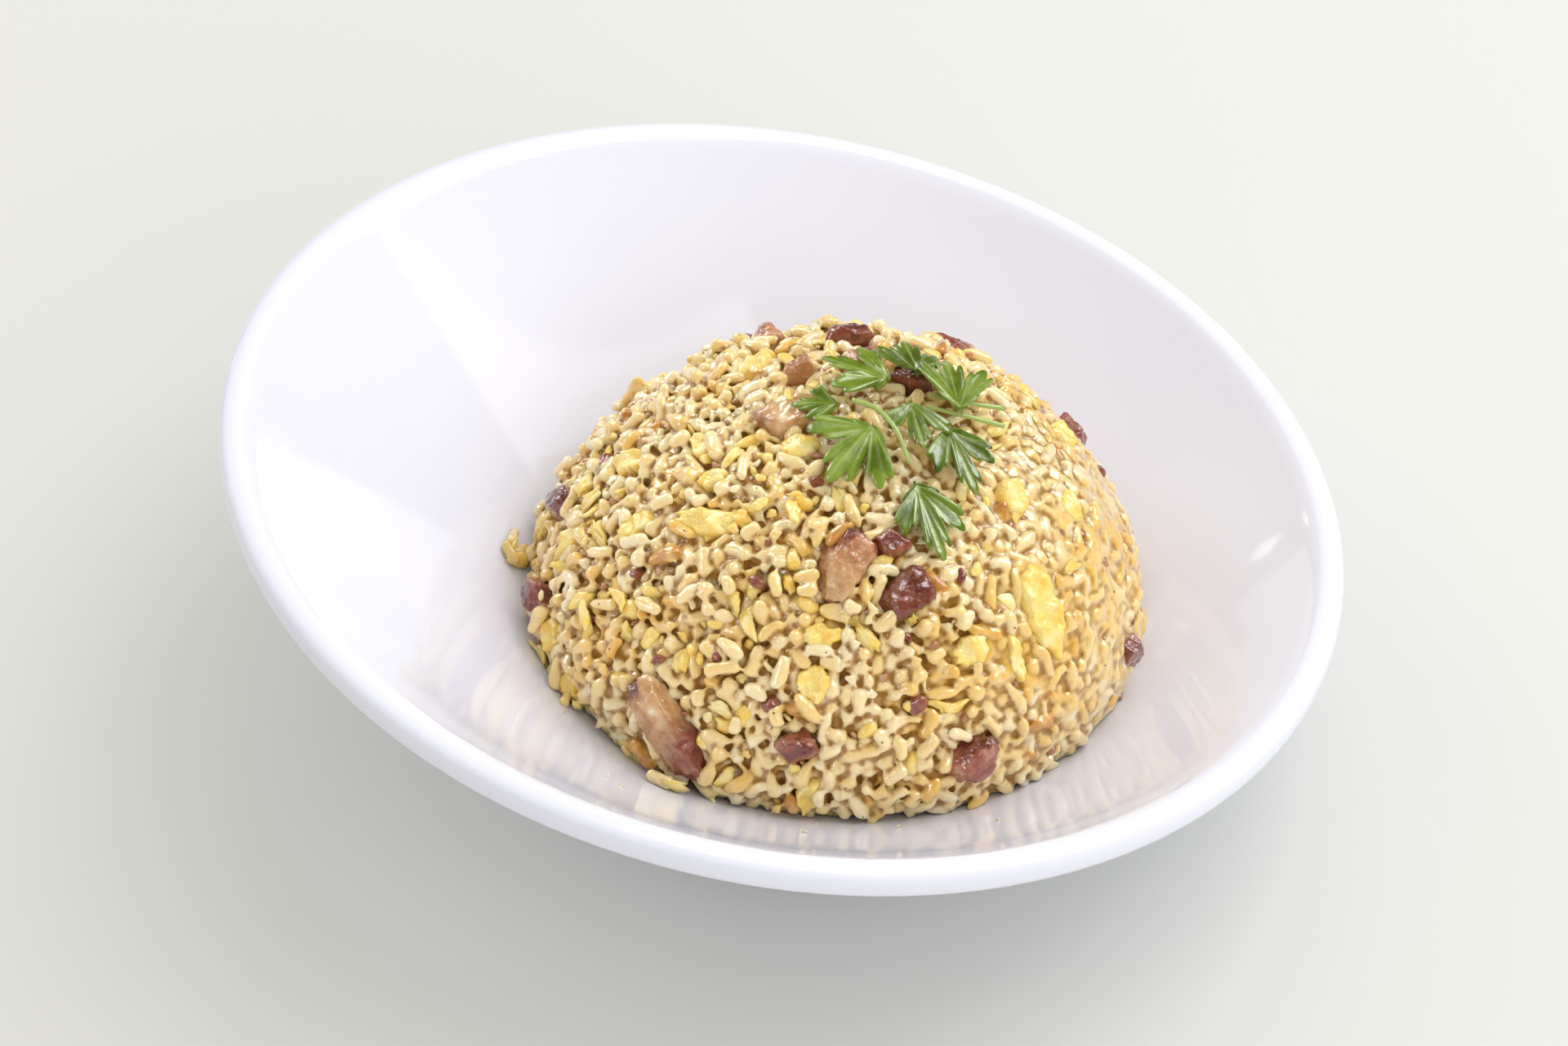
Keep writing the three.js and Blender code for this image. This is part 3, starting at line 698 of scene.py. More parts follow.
def lump_on_mound(place, size, power, ripple, seed, shape=BALL_FINE):
    """A chunk on the mound; returns its points, its faces and each point's place in it, -1 to 1."""
    rng = np.random.default_rng(seed)
    points, faces = shape
    local = boxy(points, power)
    for _ in range(7):
        way = unit(rng.normal(size=3) * (1, 1, 0.6))
        local = local - np.clip(local @ way - rng.uniform(0.62, 0.95), 0, None)[:, None] * way * 0.85
    length, width, height = size
    thickness = height + TOPPING_ROOT
    half = np.array([length, width, thickness]) / 2 * 1.06
    rough = waves(local * half, seed, 4.5) * 0.45 + waves(local * half, seed + 1, 1.7) * 0.3
    body = local * half * (1 + ripple * 0.12 * rough)[:, None]
    body[:, 2] += height - thickness / 2
    return moved(body, mound_frame(*place)), faces, local


def strands(points, seed):
    """Places stretched along the meat's own fibres, for its streaks."""
    rng = np.random.default_rng(seed)
    turn = rng.uniform(-0.5, 0.5)
    along = points[:, 0] * math.cos(turn) + points[:, 1] * math.sin(turn)
    across = points[:, 1] * math.cos(turn) - points[:, 0] * math.sin(turn)
    return {"strand_x": 0.5 * along + 20 * rng.uniform(), "strand_y": across, "strand_z": points[:, 2]}


def build_pork():
    for index, (name, bearing, climb, turn, *size) in enumerate(PORK):
        power = PORK_POWER.get(name, USUAL_PORK_POWER)
        verts, faces, local = lump_on_mound((bearing, climb, turn), size, power, 1.5, 100 + 3 * index)
        start, end, seared = PORK_LOOK.get(name, (2, 3, 0.2 + 0.6 * (index * 0.618 % 1)))
        along = local[:, 0] + 0.3 * local[:, 1]
        fat = np.clip((along - start) / (end - start), 0, 1)
        skin = smoothstep(PORK_SKIN.get(name, 0) * along + 0.12 * waves(local, index, 0.8), 0.72, 0.95)
        edge = smoothstep(np.abs(local).max(1), 0.88, 1) * (waves(local, index, 1.5) > 0)
        browned = np.clip(seared + skin + 0.5 * edge, 0, 1)
        meat = local * (np.array(size) + (0, 0, TOPPING_ROOT)) / 2
        piece = mesh_piece(name + "_flesh", verts, faces, PORK_FLESH, fat=fat * (1 - skin),
                           seared=browned, **strands(meat, 700 + index))
        settle(piece, "pork", name)


# ------ egg
def flake_outline(angles, rng, raggedness):
    """How far a torn piece reaches each way, about 1: uneven corners, bays and fine tears."""
    corners = int(rng.integers(5, 9))
    at = (np.arange(corners) + rng.uniform(-0.4, 0.4, corners)) * TURN / corners
    far = rng.uniform(1 - 0.34 * raggedness, 1.06, corners)
    reach = np.interp(angles, at, far, period=TURN)
    reach = sum(np.roll(reach, shift) for shift in range(-3, 4)) / 7
    for order, size in ((5, 0.06), (8, 0.04), (14, 0.025), (23, 0.015)):
        uneven = 0.5 + 0.8 * np.sin(2 * angles + rng.uniform(0, TURN))
        reach += raggedness * size * uneven * np.sin(order * angles + rng.uniform(0, TURN))
    return np.clip(reach, 0.4, 1.2)


def flake(length, width, height, rng, raggedness):
    """A torn, folded piece of egg lying on XY: points, faces and how near each is to the edge."""
    rings, sides = 11, 72
    angles = full_turn(sides)
    reach = flake_outline(angles, rng, raggedness)
    ring, angle = np.meshgrid(np.sin(np.linspace(0.12, 1, rings) * math.pi / 2), angles, indexing="ij")
    x = (ring * reach * np.cos(angle) * length / 2).ravel()
    y = (ring * reach * np.sin(angle) * width / 2).ravel()
    near_edge = ring.ravel()
    places = np.column_stack([x, y, np.zeros_like(x)])
    seed = int(rng.integers(1 << 30))
    folds = x * rng.uniform(0.25, 0.5) + y * rng.uniform(-0.7, 0.7) + rng.uniform(0, 6)
    swell = 0.3 * (1 - 2 * np.abs(np.sin(folds)))
    swell += 0.3 * waves(places, seed, 5) + 0.14 * waves(places, seed + 1, 2)
    top = height * (0.72 + 0.6 * swell) * (1 - near_edge ** 8) ** 0.5
    deep = -TOPPING_ROOT * (1 - near_edge ** 2) ** 0.5 - 0.5
    upper = np.column_stack([x, y, top])
    lower = np.column_stack([x, y, deep])
    verts = np.vstack([[[0, 0, top[:sides].mean()]], upper, [[0, 0, -3.4]], lower])
    return verts, sheet_faces(rings, sides), np.tile(np.append(0, near_edge), 2)


def build_egg():
    for index, (name, bearing, climb, turn, length, width, height) in enumerate(EGG):
        rng = np.random.default_rng(200 + index)
        raggedness = EGG_RAGGED.get(name, USUAL_RAGGED)
        local, faces, near_edge = flake(length * 1.12, width * 1.15, height * 0.85, rng, raggedness)
        brown = smoothstep(near_edge, 0.8, 1) * rng.uniform(0, 0.35)
        verts = moved(local, mound_frame(bearing, climb, turn))
        settle(mesh_piece(name + "_curd", verts, faces, EGG_LOOK, brown=brown), "egg", name)


# ------ rice: the pieces and how they settle
TOPPING_OVALS = [(mound_frame(bearing, climb, turn), np.array([length, width, height + TOPPING_ROOT]) / 2,
                  height) for _, bearing, climb, turn, length, width, height in PORK + EGG]


class Pieces:
    """Small long things: kind, place, axis, length and width of each."""

    def __init__(self, kinds, centres, axes, lengths, widths):
        self.kinds, self.centres, self.axes = kinds, centres, axes
        self.lengths, self.widths = lengths, widths

    def __len__(self):
        return len(self.widths)

    def fields(self):
        return self.kinds, self.centres, self.axes, self.lengths, self.widths

    def picked(self, which):
        return Pieces(*(field[which] for field in self.fields()))

    def outs(self):
        return ways_to(self.centres)

    def arms(self):
        """How far along its piece each ball is from the middle."""
        return BALLS[None, :, None] * self.lengths[:, None, None]

    def balls(self):
        return (self.centres[:, None] + self.axes[:, None] * self.arms()).reshape(-1, 3)

    def radii(self):
        return np.repeat(self.widths / 2, len(BALLS))

    def push(self, moves, speed, turning, inward):
        """Shifts and turns each piece as its balls are moved, and draws it in towards the middle."""
        moves = moves.reshape(-1, len(BALLS), 3)
        arms = self.arms()
        self.centres += speed * moves.mean(1) - inward * self.outs()
        self.axes = unit(self.axes + turning * (arms * moves).sum(1) / (arms ** 2).sum(1))


def joined(groups):
    return Pieces(*(np.concatenate(field) for field in zip(*(group.fields() for group in groups))))


def scatter(rng, kind, count, length, width, tilt, keep=None, top=1):
    """Pieces at random on the mound, fewer where it is pressed, in the top share of the depth."""
    bearing = rng.uniform(0, TURN, count)
    climb = np.arcsin(rng.uniform(-0.34, 1, count))
    origin, round_way, up_way, out = mound_frames(bearing, climb)
    ways = directions(bearing, climb)
    loose = looseness(ways)
    turn = rng.uniform(0, TURN, count)[:, None]
    lean = (np.radians(rng.normal(0, tilt, count)) * (loose - 0.15))[:, None]
    flat = round_way * np.cos(turn) + up_way * np.sin(turn)
    low = core_level(origin, loose)
    height = low + (lid_level(origin, loose) - low) * rng.uniform(1 - top, 1, count)
    chance = (0.6 + 0.4 * loose) * (mound_reach(ways) / MOUND_RADIUS) ** 2
    if keep:
        chance = chance * keep(origin)
    chosen = rng.uniform(size=count) < chance
    axes = flat * np.cos(lean) + out * np.sin(lean)
    lengths = length * rng.uniform(0.72, 1.14, count)
    widths = width * rng.uniform(0.86, 1.1, count)
    centres = origin + ways * height[:, None]
    return Pieces(np.full(count, kind), centres, axes, lengths, widths).picked(chosen)


def laid_on_bowl(kinds, x, y, turn, lengths, widths, share):
    """Pieces that lie flat, their middles a share of their width above the bowl."""
    centres = np.column_stack([x, y, bowl_heights(x, y) + share * widths])
    axes = np.column_stack([np.cos(turn), np.sin(turn), np.zeros_like(turn)])
    return Pieces(kinds, centres, axes, lengths, widths)


def scatter_foot(rng, count):
    """Grains that slid down and lie on the bowl round the foot of the mound."""
    bearing = rng.uniform(0, TURN, count)
    reach = MOUND_RADIUS + 0.5 + np.abs(rng.normal(0, 2.2, count))
    widths = GRAIN_WIDTH * rng.uniform(0.85, 1.05, count)
    turn = rng.uniform(0, math.pi, count)
    lengths = GRAIN_LENGTH * rng.uniform(0.5, 1.1, count)
    x, y = MOUND_X + reach * np.cos(bearing), reach * np.sin(bearing)
    return laid_on_bowl(np.full(count, "grain"), x, y, turn, lengths, widths, share=0.5)


def close_pairs(points, reach):
    """Pairs of points nearer than reach, found by sorting them into cubes of that size."""
    cells = np.floor((points - points.min(0)) / reach).astype(int) + 1
    span = cells.max(0) + 2
    weights = np.array([span[1] * span[2], span[2], 1])
    keys = cells @ weights
    order = np.argsort(keys, kind="stable")
    ranked = keys[order]
    pairs = []
    for step in np.ndindex(3, 3, 3):
        shift = (np.array(step) - 1) @ weights
        if shift < 0:
            continue
        start = np.searchsorted(ranked, keys + shift, "left")
        counts = np.searchsorted(ranked, keys + shift, "right") - start
        first = np.repeat(np.arange(len(points)), counts)
        place = np.arange(len(first)) - np.repeat(np.cumsum(counts) - counts, counts)
        second = order[place + np.repeat(start, counts)]
        near = ((points[first] - points[second]) ** 2).sum(1) < reach ** 2
        near &= (first < second) | (shift > 0)
        pairs.append((first[near], second[near]))
    return np.concatenate([p[0] for p in pairs]), np.concatenate([p[1] for p in pairs])


def out_of_toppings(balls, radii):
    """Moves that take the balls out of the pork and egg."""
    moves = np.zeros_like(balls)
    for placing, size, height in TOPPING_OVALS:
        near = np.flatnonzero(((balls - placing[:3, 3]) ** 2).sum(1) < (size.max() + 3) ** 2)
        local = (balls[near] - placing[:3, 3]) @ placing[:3, :3]
        local[:, 2] -= height - size[2]
        level = np.linalg.norm(local / (size + 0.5 * radii[near, None]), axis=1) + 1e-6
        push = local * np.clip(1 / level - 1, 0, 0.4)[:, None]
        moves[near] += push @ placing[:3, :3].T
    return moves


def out_of_bowl(balls, radii):
    """Moves that lift the balls off the bowl."""
    x, y, z = balls.T
    ground = bowl_heights(x, y)
    slopes = [ground - bowl_heights(x + 1, y), ground - bowl_heights(x, y + 1)]
    normals = unit(np.column_stack([*slopes, np.ones(len(x))]))
    depth = radii - (z - ground) * normals[:, 2]
    return normals * np.clip(depth, 0, 1.5)[:, None]


def clear_of_bowl(pieces):
    """Which pieces lie on the bowl or above it, and not in its wall."""
    return over_bowl(pieces.balls()).reshape(-1, len(BALLS)).min(1) > 0.4


def settle_heap(pieces, rng):
    """Lets the pieces push each other apart between the core and the lid, with some standing proud."""
    radii = pieces.radii()
    owner = np.repeat(np.arange(len(pieces)), len(BALLS))
    proud = PROUD * rng.uniform(size=len(pieces)) ** 3
    from_sprig = np.hypot(pieces.centres[:, 0] - SPRIG_X, pieces.centres[:, 1] - SPRIG_Y)
    proud *= smoothstep(from_sprig, *SPRIG_REACH)
    for turn in range(SETTLING_ROUNDS):
        balls = pieces.balls()
        ways = ways_to(balls)
        paired_anew = turn % 4 == 0
        if paired_anew:
            first, second = close_pairs(balls, PUSHING_REACH)
            other = owner[first] != owner[second]
            first, second = first[other], second[other]
            loose = looseness(ways)
            low = core_level(balls, loose)
            lid = lid_level(balls, loose) + proud[owner] * loose
        gap = balls[first] - balls[second]
        distance = np.linalg.norm(gap, axis=1) + 1e-6
        excess = np.clip((radii[first] + radii[second]) * CLOSENESS - distance, 0, 1)
        push = gap * (0.5 * excess / distance)[:, None]
        moves = summed(first, push, len(balls)) - summed(second, push, len(balls))
        height = height_above(balls, ways)
        inward = np.clip(low - height, 0, 1.5) - np.clip(height + radii - lid, 0, 1.5)
        outward = ways * inward[:, None] + out_of_toppings(balls, radii)
        if paired_anew:
            outward += out_of_bowl(balls, radii)
        pieces.push(moves + outward, speed=1.2, turning=0.8, inward=0.05)


def eggy(points):
    """Chance of egg crumbs at each place: they lie in patches, mostly on the left."""
    left = smoothstep(-ways_to(points)[:, 0], -0.5, 0.5)
    return np.clip((0.3 + 0.7 * left) * smoothstep(waves(points, 51, 15), -0.6, 0.8), 0.06, 1)


# ------ rice: shapes
def grain_template():
    """A blunt grain along X: rings of points with a tip at each end."""
    sides = 8
    along = np.array([-0.95, -0.74, -0.28, 0.28, 0.74, 0.95])
    radii = (1 - np.abs(along) ** 5) ** 0.5
    angles = full_turn(sides)
    rings = [np.column_stack([np.full(sides, a), r * np.cos(angles), r * np.sin(angles)])
             for a, r in zip(along, radii)]
    points = np.vstack([[[-1, 0, 0]], *rings, [[1, 0, 0]]])
    last = len(points) - 1 - sides
    faces = []
    for side in range(sides):
        right = (side + 1) % sides
        faces += [(0, 1 + right, 1 + side), (last + side, last + right, len(points) - 1)]
    return points, faces + numbered_from(1, grid_faces(len(along), sides))


def placed_copies(pieces, local):
    """Each piece's own local points, set along its axis."""
    axes = pieces.axes
    outs = pieces.outs()
    outs = unit(outs - axes * (axes * outs).sum(1)[:, None])
    points = pieces.centres[:, None]
    for along, way in zip(local, (axes, np.cross(outs, axes), outs)):
        points = points + along[..., None] * way[:, None]
    return points


def grain_points(pieces, seed):
    """Every grain is bent, tapered and dented in its own way."""
    rng = np.random.default_rng(seed)
    template, faces = grain_template()
    count = len(pieces)
    x, y, z = template.T
    bend = rng.normal(0, 0.15, (count, 1))
    lift = rng.normal(0, 0.09, (count, 1))
    taper = rng.normal(0, 0.12, (count, 1))
    flat = rng.uniform(0.78, 1, (count, 1))
    phase = rng.uniform(0, TURN, (count, 5))
    dent = 1 + 0.12 * np.sin(3.6 * x + phase[:, :1])
    dent = dent + 0.13 * np.sin(2.5 * y - 2.6 * x + phase[:, 1:2])
    dent = dent + 0.1 * np.sin(4.8 * z + 4.3 * x + phase[:, 2:3])
    halves = pieces.widths[:, None] / 2
    spin = phase[:, 3:4]
    swell = (1 + taper * x) * dent
    across = y * swell * np.cos(spin) - z * swell * flat * np.sin(spin)
    through = y * swell * np.sin(spin) + z * swell * flat * np.cos(spin)
    arch = (1 - x ** 2) * pieces.lengths[:, None] / 4
    along = x * pieces.lengths[:, None] / 2
    local = (along, across * halves + bend * arch, through * halves + lift * arch)
    return placed_copies(pieces, local), faces


def crumb_points(pieces, seed, shape=BALL_CRUMB):
    """Torn crumbs: flattish balls with dents and tears, curled along their length."""
    rng = np.random.default_rng(seed)
    points, faces = shape
    count = len(pieces)
    x, y, z = points.T
    dent = np.ones((count, len(points)))
    for fineness in (2, 2.4, 3.5, 5):
        way = rng.normal(0, fineness, (count, 3))
        dent += 0.15 * np.sin(way @ points.T + rng.uniform(0, TURN, (count, 1)))
    lengths = pieces.lengths[:, None] / 2
    widths = pieces.widths[:, None] / 2
    flat = rng.uniform(0.4, 0.85, (count, 1))
    bend = rng.normal(0, 0.3, (count, 1)) * (x ** 2 - 0.4) * lengths
    curl = rng.normal(0, 0.16, (count, 1)) * (x ** 2 - 0.4) * lengths
    local = (x * dent * lengths, y * dent * widths + bend, z * dent * widths * flat + curl)
    return placed_copies(pieces, local), faces


def copied_faces(points, faces, start=0):
    """The faces of all the copies, whose points are numbered from start."""
    return [face for n in range(len(points)) for face in numbered_from(start + n * points.shape[1], faces)]


def join_copies(name, points, faces, material, slot, **values):
    """One mesh of all the copies; each value is one float for all or one for each copy."""
    spread = {key: np.repeat(np.broadcast_to(value, len(points)), points.shape[1])
              for key, value in values.items()}
    piece = mesh_piece(name, points.reshape(-1, 3), copied_faces(points, faces), material, **spread)
    return settle(piece, slot)


def core_surface(rows, sides, sink):
    """The mass that holds the grains: golden paste whose knobs and pits show between them."""
    climbs = np.linspace(math.radians(89.9), LOWEST_CLIMB, rows)
    climb, bearing = np.meshgrid(climbs, full_turn(sides), indexing="ij")
    ways = directions(bearing.ravel(), climb.ravel())
    bare = on_mound(ways)
    loose = looseness(ways)
    knobs = 0.7 * waves(bare, 9, 4.2) + 0.4 * waves(bare, 10, 2.1)
    pits = smoothstep(waves(bare, 12, 4.5), 0.65, 1.1) * (1 - loose)
    skin = (1 - loose) * smoothstep(waves(bare, 14, 13), -0.1, 0.7)
    cover = CORE_COVER * loose + 0.9 * (1 - loose) + 0.9 * skin
    cover += 1.9 * loose * smoothstep(waves(bare, 15, 9), 0.25, 0.9)
    level = core_level(bare, loose) + cover + (0.3 + 0.7 * loose) * knobs - 1.6 * pits - sink
    verts = on_mound(ways, level)
    verts[:, 2] = np.maximum(verts[:, 2], bowl_heights(verts[:, 0], verts[:, 1]) + 0.25)
    return verts[None], [face[::-1] for face in grid_faces(rows, sides, capped=True)]


# ------ rice: the skin of fused grains
def fused_skin(parts):
    """One skin of quads round closed shapes that overlap."""
    verts, faces = [], []
    start = 0
    for points, shape in parts:
        verts.append(points.reshape(-1, 3))
        faces += copied_faces(points, shape, start)
        start += len(verts[-1])
    mesh = bpy.data.meshes.new("overlapping")
    mesh.from_pydata(np.vstack(verts).tolist(), [], faces)
    holder = bpy.data.objects.new("overlapping", mesh)
    bpy.context.scene.collection.objects.link(holder)
    remesh = holder.modifiers.new("skin", "REMESH")
    remesh.mode = "VOXEL"
    remesh.voxel_size = VOXEL
    skin = bpy.data.meshes.new_from_object(holder.evaluated_get(bpy.context.evaluated_depsgraph_get()))
    points = np.empty(3 * len(skin.vertices))
    skin.vertices.foreach_get("co", points)
    quads = np.empty(len(skin.loops), int)
    skin.loops.foreach_get("vertex_index", quads)
    bpy.data.objects.remove(holder)
    bpy.data.meshes.remove(mesh)
    bpy.data.meshes.remove(skin)
    return points.reshape(-1, 3), quads.reshape(-1, 4)


def eased(values, quads, rounds, share):
    """Values at the points of a closed skin, each pulled towards the mean of its neighbours."""
    start, end = quads.ravel(), np.roll(quads, -1, axis=1).ravel()
    count = np.bincount(start, minlength=len(values))
    values = values.reshape(len(values), -1).copy()
    for _ in range(rounds):
        values += share * (summed(start, values[end], len(values)) / count[:, None] - values)
    return values


def skin_normals(points, quads):
    corners = points[quads]
    across = np.cross(corners[:, 2] - corners[:, 0], corners[:, 3] - corners[:, 1])
    normals = summed(quads.ravel(), np.repeat(across, 4, axis=0), len(points))
    return normals / (np.linalg.norm(normals, axis=1)[:, None] + 1e-9)


def grain_tones(rng, pieces):
    """How browned each grain is, with painted shade on the left side: more on the pressed side, a few
    nearly white or burnt.
    """
    tones = 0.09 + 0.33 * toasted_and_shaded(pieces.centres) + rng.normal(0, 0.08, len(pieces))
    chance = rng.uniform(size=len(pieces))
    tones = np.where(chance < 0.12, tones - 0.15, tones)
    tones = np.where((chance > 0.12) & (chance < 0.2), tones + 0.2, tones)
    return np.where(chance > 0.985, 0.8, np.clip(tones, 0.02, 0.75))


def open_to_view(points, normals):
    """Which points of the skin aren't buried in the core or turned to the bowl under it."""
    ways = ways_to(points)
    above_core = height_above(points, ways) > core_level(points, looseness(ways)) - 0.9
    return above_core & ((over_bowl(points) > 0.7) | (normals[:, 2] > -0.6))


def nearest_balls(balls, points):
    """Which ball is nearest to each point, and how far away it is."""
    tree = KDTree(len(balls))
    for index, place in enumerate(balls.tolist()):
        tree.insert(place, index)
    tree.balance()
    found = np.array([tree.find(place)[1:] for place in points.tolist()])
    return found[:, 0].astype(int), found[:, 1]


def build_heap(grains, broken, tones):
    """Grains and paste fused to one skin, with painted shade, a dark golden brown, in its grooves, in a few
    sectors.
    """
    core = core_surface(135, 260, sink=0)
    parts = [grain_points(grains, seed=40), crumb_points(broken, seed=44), core]
    points, quads = fused_skin(parts)
    points = eased(points, quads, rounds=1, share=0.3)
    normals = skin_normals(points, quads)
    points += normals * (0.09 * waves(points, 71, 2.4))[:, None]
    # Painted shade: 'deep' is 1 in the concave grooves between grains, which the rice material darkens.
    ridge = ((points - eased(points, quads, 14, 0.7)) * normals).sum(1)
    crease = ((points - eased(points, quads, 5, 0.6)) * normals).sum(1)
    deep = 1 - smoothstep(ridge, -0.36, 0.12) * smoothstep(crease, -0.16, 0)
    quads = quads[open_to_view(points, normals)[quads].any(1)]

    nearest, distance = nearest_balls(np.vstack([grains.balls(), broken.balls()]), points)
    tone = eased(tones[nearest // len(BALLS)], quads, 1, 0.5)[:, 0]
    paste = eased(smoothstep(distance, 1.5, 2.6), quads, 2, 0.5)[:, 0]

    bearing = np.arctan2(points[:, 1], points[:, 0] - MOUND_X)
    sector = np.floor((bearing / math.pi + 1) * SECTORS / 2) % SECTORS
    for number in range(SECTORS):
        chosen = quads[sector[quads[:, 0]] == number]
        used, local = np.unique(chosen, return_inverse=True)
        piece = mesh_piece(f"rice_grains_{number + 1}", points[used], local.reshape(-1, 4).tolist(), RICE,
                           tone=tone[used], deep=deep[used], paste=paste[used], baked=toasted_and_shaded(points[used]))
        piece.data.normals_split_custom_set_from_vertices(normals[used].tolist())
        settle(piece, "rice")


def build_rice():
    rng = np.random.default_rng(3)
    pieces = joined([
        scatter(rng, "grain", WHOLE_GRAINS, GRAIN_LENGTH, GRAIN_WIDTH, 48),
        scatter(rng, "grain", SHORT_GRAINS, GRAIN_LENGTH * SHORT_GRAIN, GRAIN_WIDTH, 45),
        scatter(rng, "broken", BROKEN_GRAINS, 3.1, 2.7, 45, top=0.6),
        scatter_foot(rng, FOOT_GRAINS),
        scatter(rng, "egg", EGG_CRUMBS, 3, 2.2, 30, keep=eggy, top=0.4),
        scatter(rng, "shred", EGG_SHREDS, 6.8, 3.2, 30, keep=eggy, top=0.25),
        scatter(rng, "brown", BROWN_CRUMBS, 2.4, 1.7, 20, top=0.3)])
    settle_heap(pieces, np.random.default_rng(11))
    pieces = pieces.picked(clear_of_bowl(pieces))
    grains, broken = (pieces.picked(pieces.kinds == kind) for kind in ("grain", "broken"))
    tones = np.concatenate([grain_tones(rng, grains), grain_tones(rng, broken)])
    build_heap(grains, broken, tones)
    for kind, shape, material, slot, values in (
            ("egg", BALL_CRUMB, EGG_LOOK, "egg", {"brown": 0.05}),
            ("shred", BALL_SMALL, EGG_LOOK, "egg", {"brown": 0}),
            ("brown", BALL_CRUMB, PORK_FLESH, "pork", {"fat": 0.6, "seared": 0.3})):
        points, faces = crumb_points(pieces.picked(pieces.kinds == kind), seed=70, shape=shape)
        spread = {key: value + rng.normal(0, 0.1, len(points)) for key, value in values.items()}
        join_copies(kind + "_crumbs", points, faces, material, slot, **spread)
    build_pepper(rng, grains)


def build_pepper(rng, grains):
    """Specks of pepper on the backs of the grains."""
    chosen = grains.picked(rng.choice(len(grains), PEPPER_SPECKS, replace=False))
    slide = (chosen.lengths * rng.uniform(-0.3, 0.3, PEPPER_SPECKS))[:, None]
    places = chosen.centres + chosen.outs() * chosen.widths[:, None] * 0.46 + chosen.axes * slide
    lengths = rng.uniform(0.3, 0.6, PEPPER_SPECKS)
    widths = rng.uniform(0.25, 0.4, PEPPER_SPECKS)
    specks = Pieces(chosen.kinds, places, chosen.axes, lengths, widths)
    points, faces = crumb_points(specks, seed=90)
    join_copies("pepper_specks", points, faces, PEPPER, "rice")


def build_core():
    """The paste under the skin of grains, sunk so that it shows nowhere."""
    verts, faces = core_surface(60, 120, sink=1.2)
    settle(mesh_piece("rice_core", verts[0], faces, CORE, tone=toasted_and_shaded(verts[0])), "rice", "rice")


def build_bits():
    """Small pieces of egg and pork among the grains, each kind joined to one mesh."""
    for name, places, material, slot, power, values in (
            ("small_egg_bits", SMALL_EGG, EGG_LOOK, "egg", 2.2, {"brown": 0.25}),
            ("small_pork_bits", SMALL_PORK, PORK_FLESH, "pork", 3.2, {"fat": 0.1, "seared": 0.5})):
        rng = np.random.default_rng(len(places))
        lumps = []
        for index, (bearing, climb, size) in enumerate(places):
            place = bearing, climb, rng.uniform(0, 180)
            lump = lump_on_mound(place, (size, size * 0.72, 2.4), power, 2.2, 300 + index, BALL_SMALL)
            lumps.append(lump[0])
        faces = copied_faces(np.array(lumps), BALL_SMALL[1])
        verts = np.vstack(lumps)
        settle(mesh_piece(name, verts, faces, material, **values, **strands(verts, 31)), slot)


def build_fallen():
    """Grains and egg that fell beside the mound."""
    for name, places in (("fallen_grains_left", FALLEN_LEFT), ("fallen_grain_front", FALLEN_FRONT)):
        kinds = np.array([place[3] for place in places])
        x, y, turn = np.array([place[:3] for place in places], float).T
        is_grain = kinds == "grain"
        lengths = np.where(is_grain, 6.4, 5.6)
        widths = np.where(is_grain, 3.2, 3.4)
        laid = laid_on_bowl(kinds, x, y, np.radians(turn), lengths, widths, share=0)
        for _ in range(6):
            laid.push(out_of_bowl(laid.balls(), laid.radii()), speed=1, turning=1, inward=0)
        points, faces = grain_points(laid.picked(is_grain), seed=60)
        tones = np.linspace(0.15, 0.35, len(points))
        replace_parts(join_copies(name + "_rice", points, faces, RICE, "rice", tone=tones), name)
        points, faces = crumb_points(laid.picked(~is_grain), seed=61)
        join_copies(name + "_egg", points, faces, EGG_LOOK, "egg", brown=0.15)


def build_bowl_crumbs():
    """Faint crumbs lying on the bowl."""
    rng = np.random.default_rng(81)
    x, y, lengths = np.array(BOWL_CRUMBS).T * np.array([[1], [1], [1.4]])
    widths = lengths * rng.uniform(0.5, 0.8, len(x))
    turn = rng.uniform(0, math.pi, len(x))
    laid = laid_on_bowl(np.full(len(x), "egg"), x, y, turn, lengths, widths, share=0.3)
    points, faces = crumb_points(laid, seed=82)
    join_copies("bowl_crumbs", points, faces, RICE, "rice", tone=0.1)


# ------ coriander
def leaf_edge(angle, phase):
    """How far a leaf reaches each way from its stalk, 0 to 1: a fan of three toothed lobes."""
    lobe = np.clip(np.round(angle / LEAF_LOBE), -1, 1)
    off = np.clip((angle - lobe * LEAF_LOBE) / LEAF_LOBE, -1.2, 1.2)
    size = np.where(lobe == 0, 1, 0.84 + 0.05 * lobe * math.sin(phase))
    depth = 0.55 + 0.1 * math.sin(2 * phase)
    reach = size * (1 - depth * np.clip(2 * np.abs(off), 0, 1) ** 3.2)
    teeth = np.abs(np.cos(off * math.pi * 2.6 + 0.4 * lobe)) ** 0.5
    stalk_side = smoothstep(np.abs(angle), math.radians(60), math.radians(98))
    return reach * (1 - 0.3 * (1 - teeth)) * (1 - 0.86 * stalk_side)


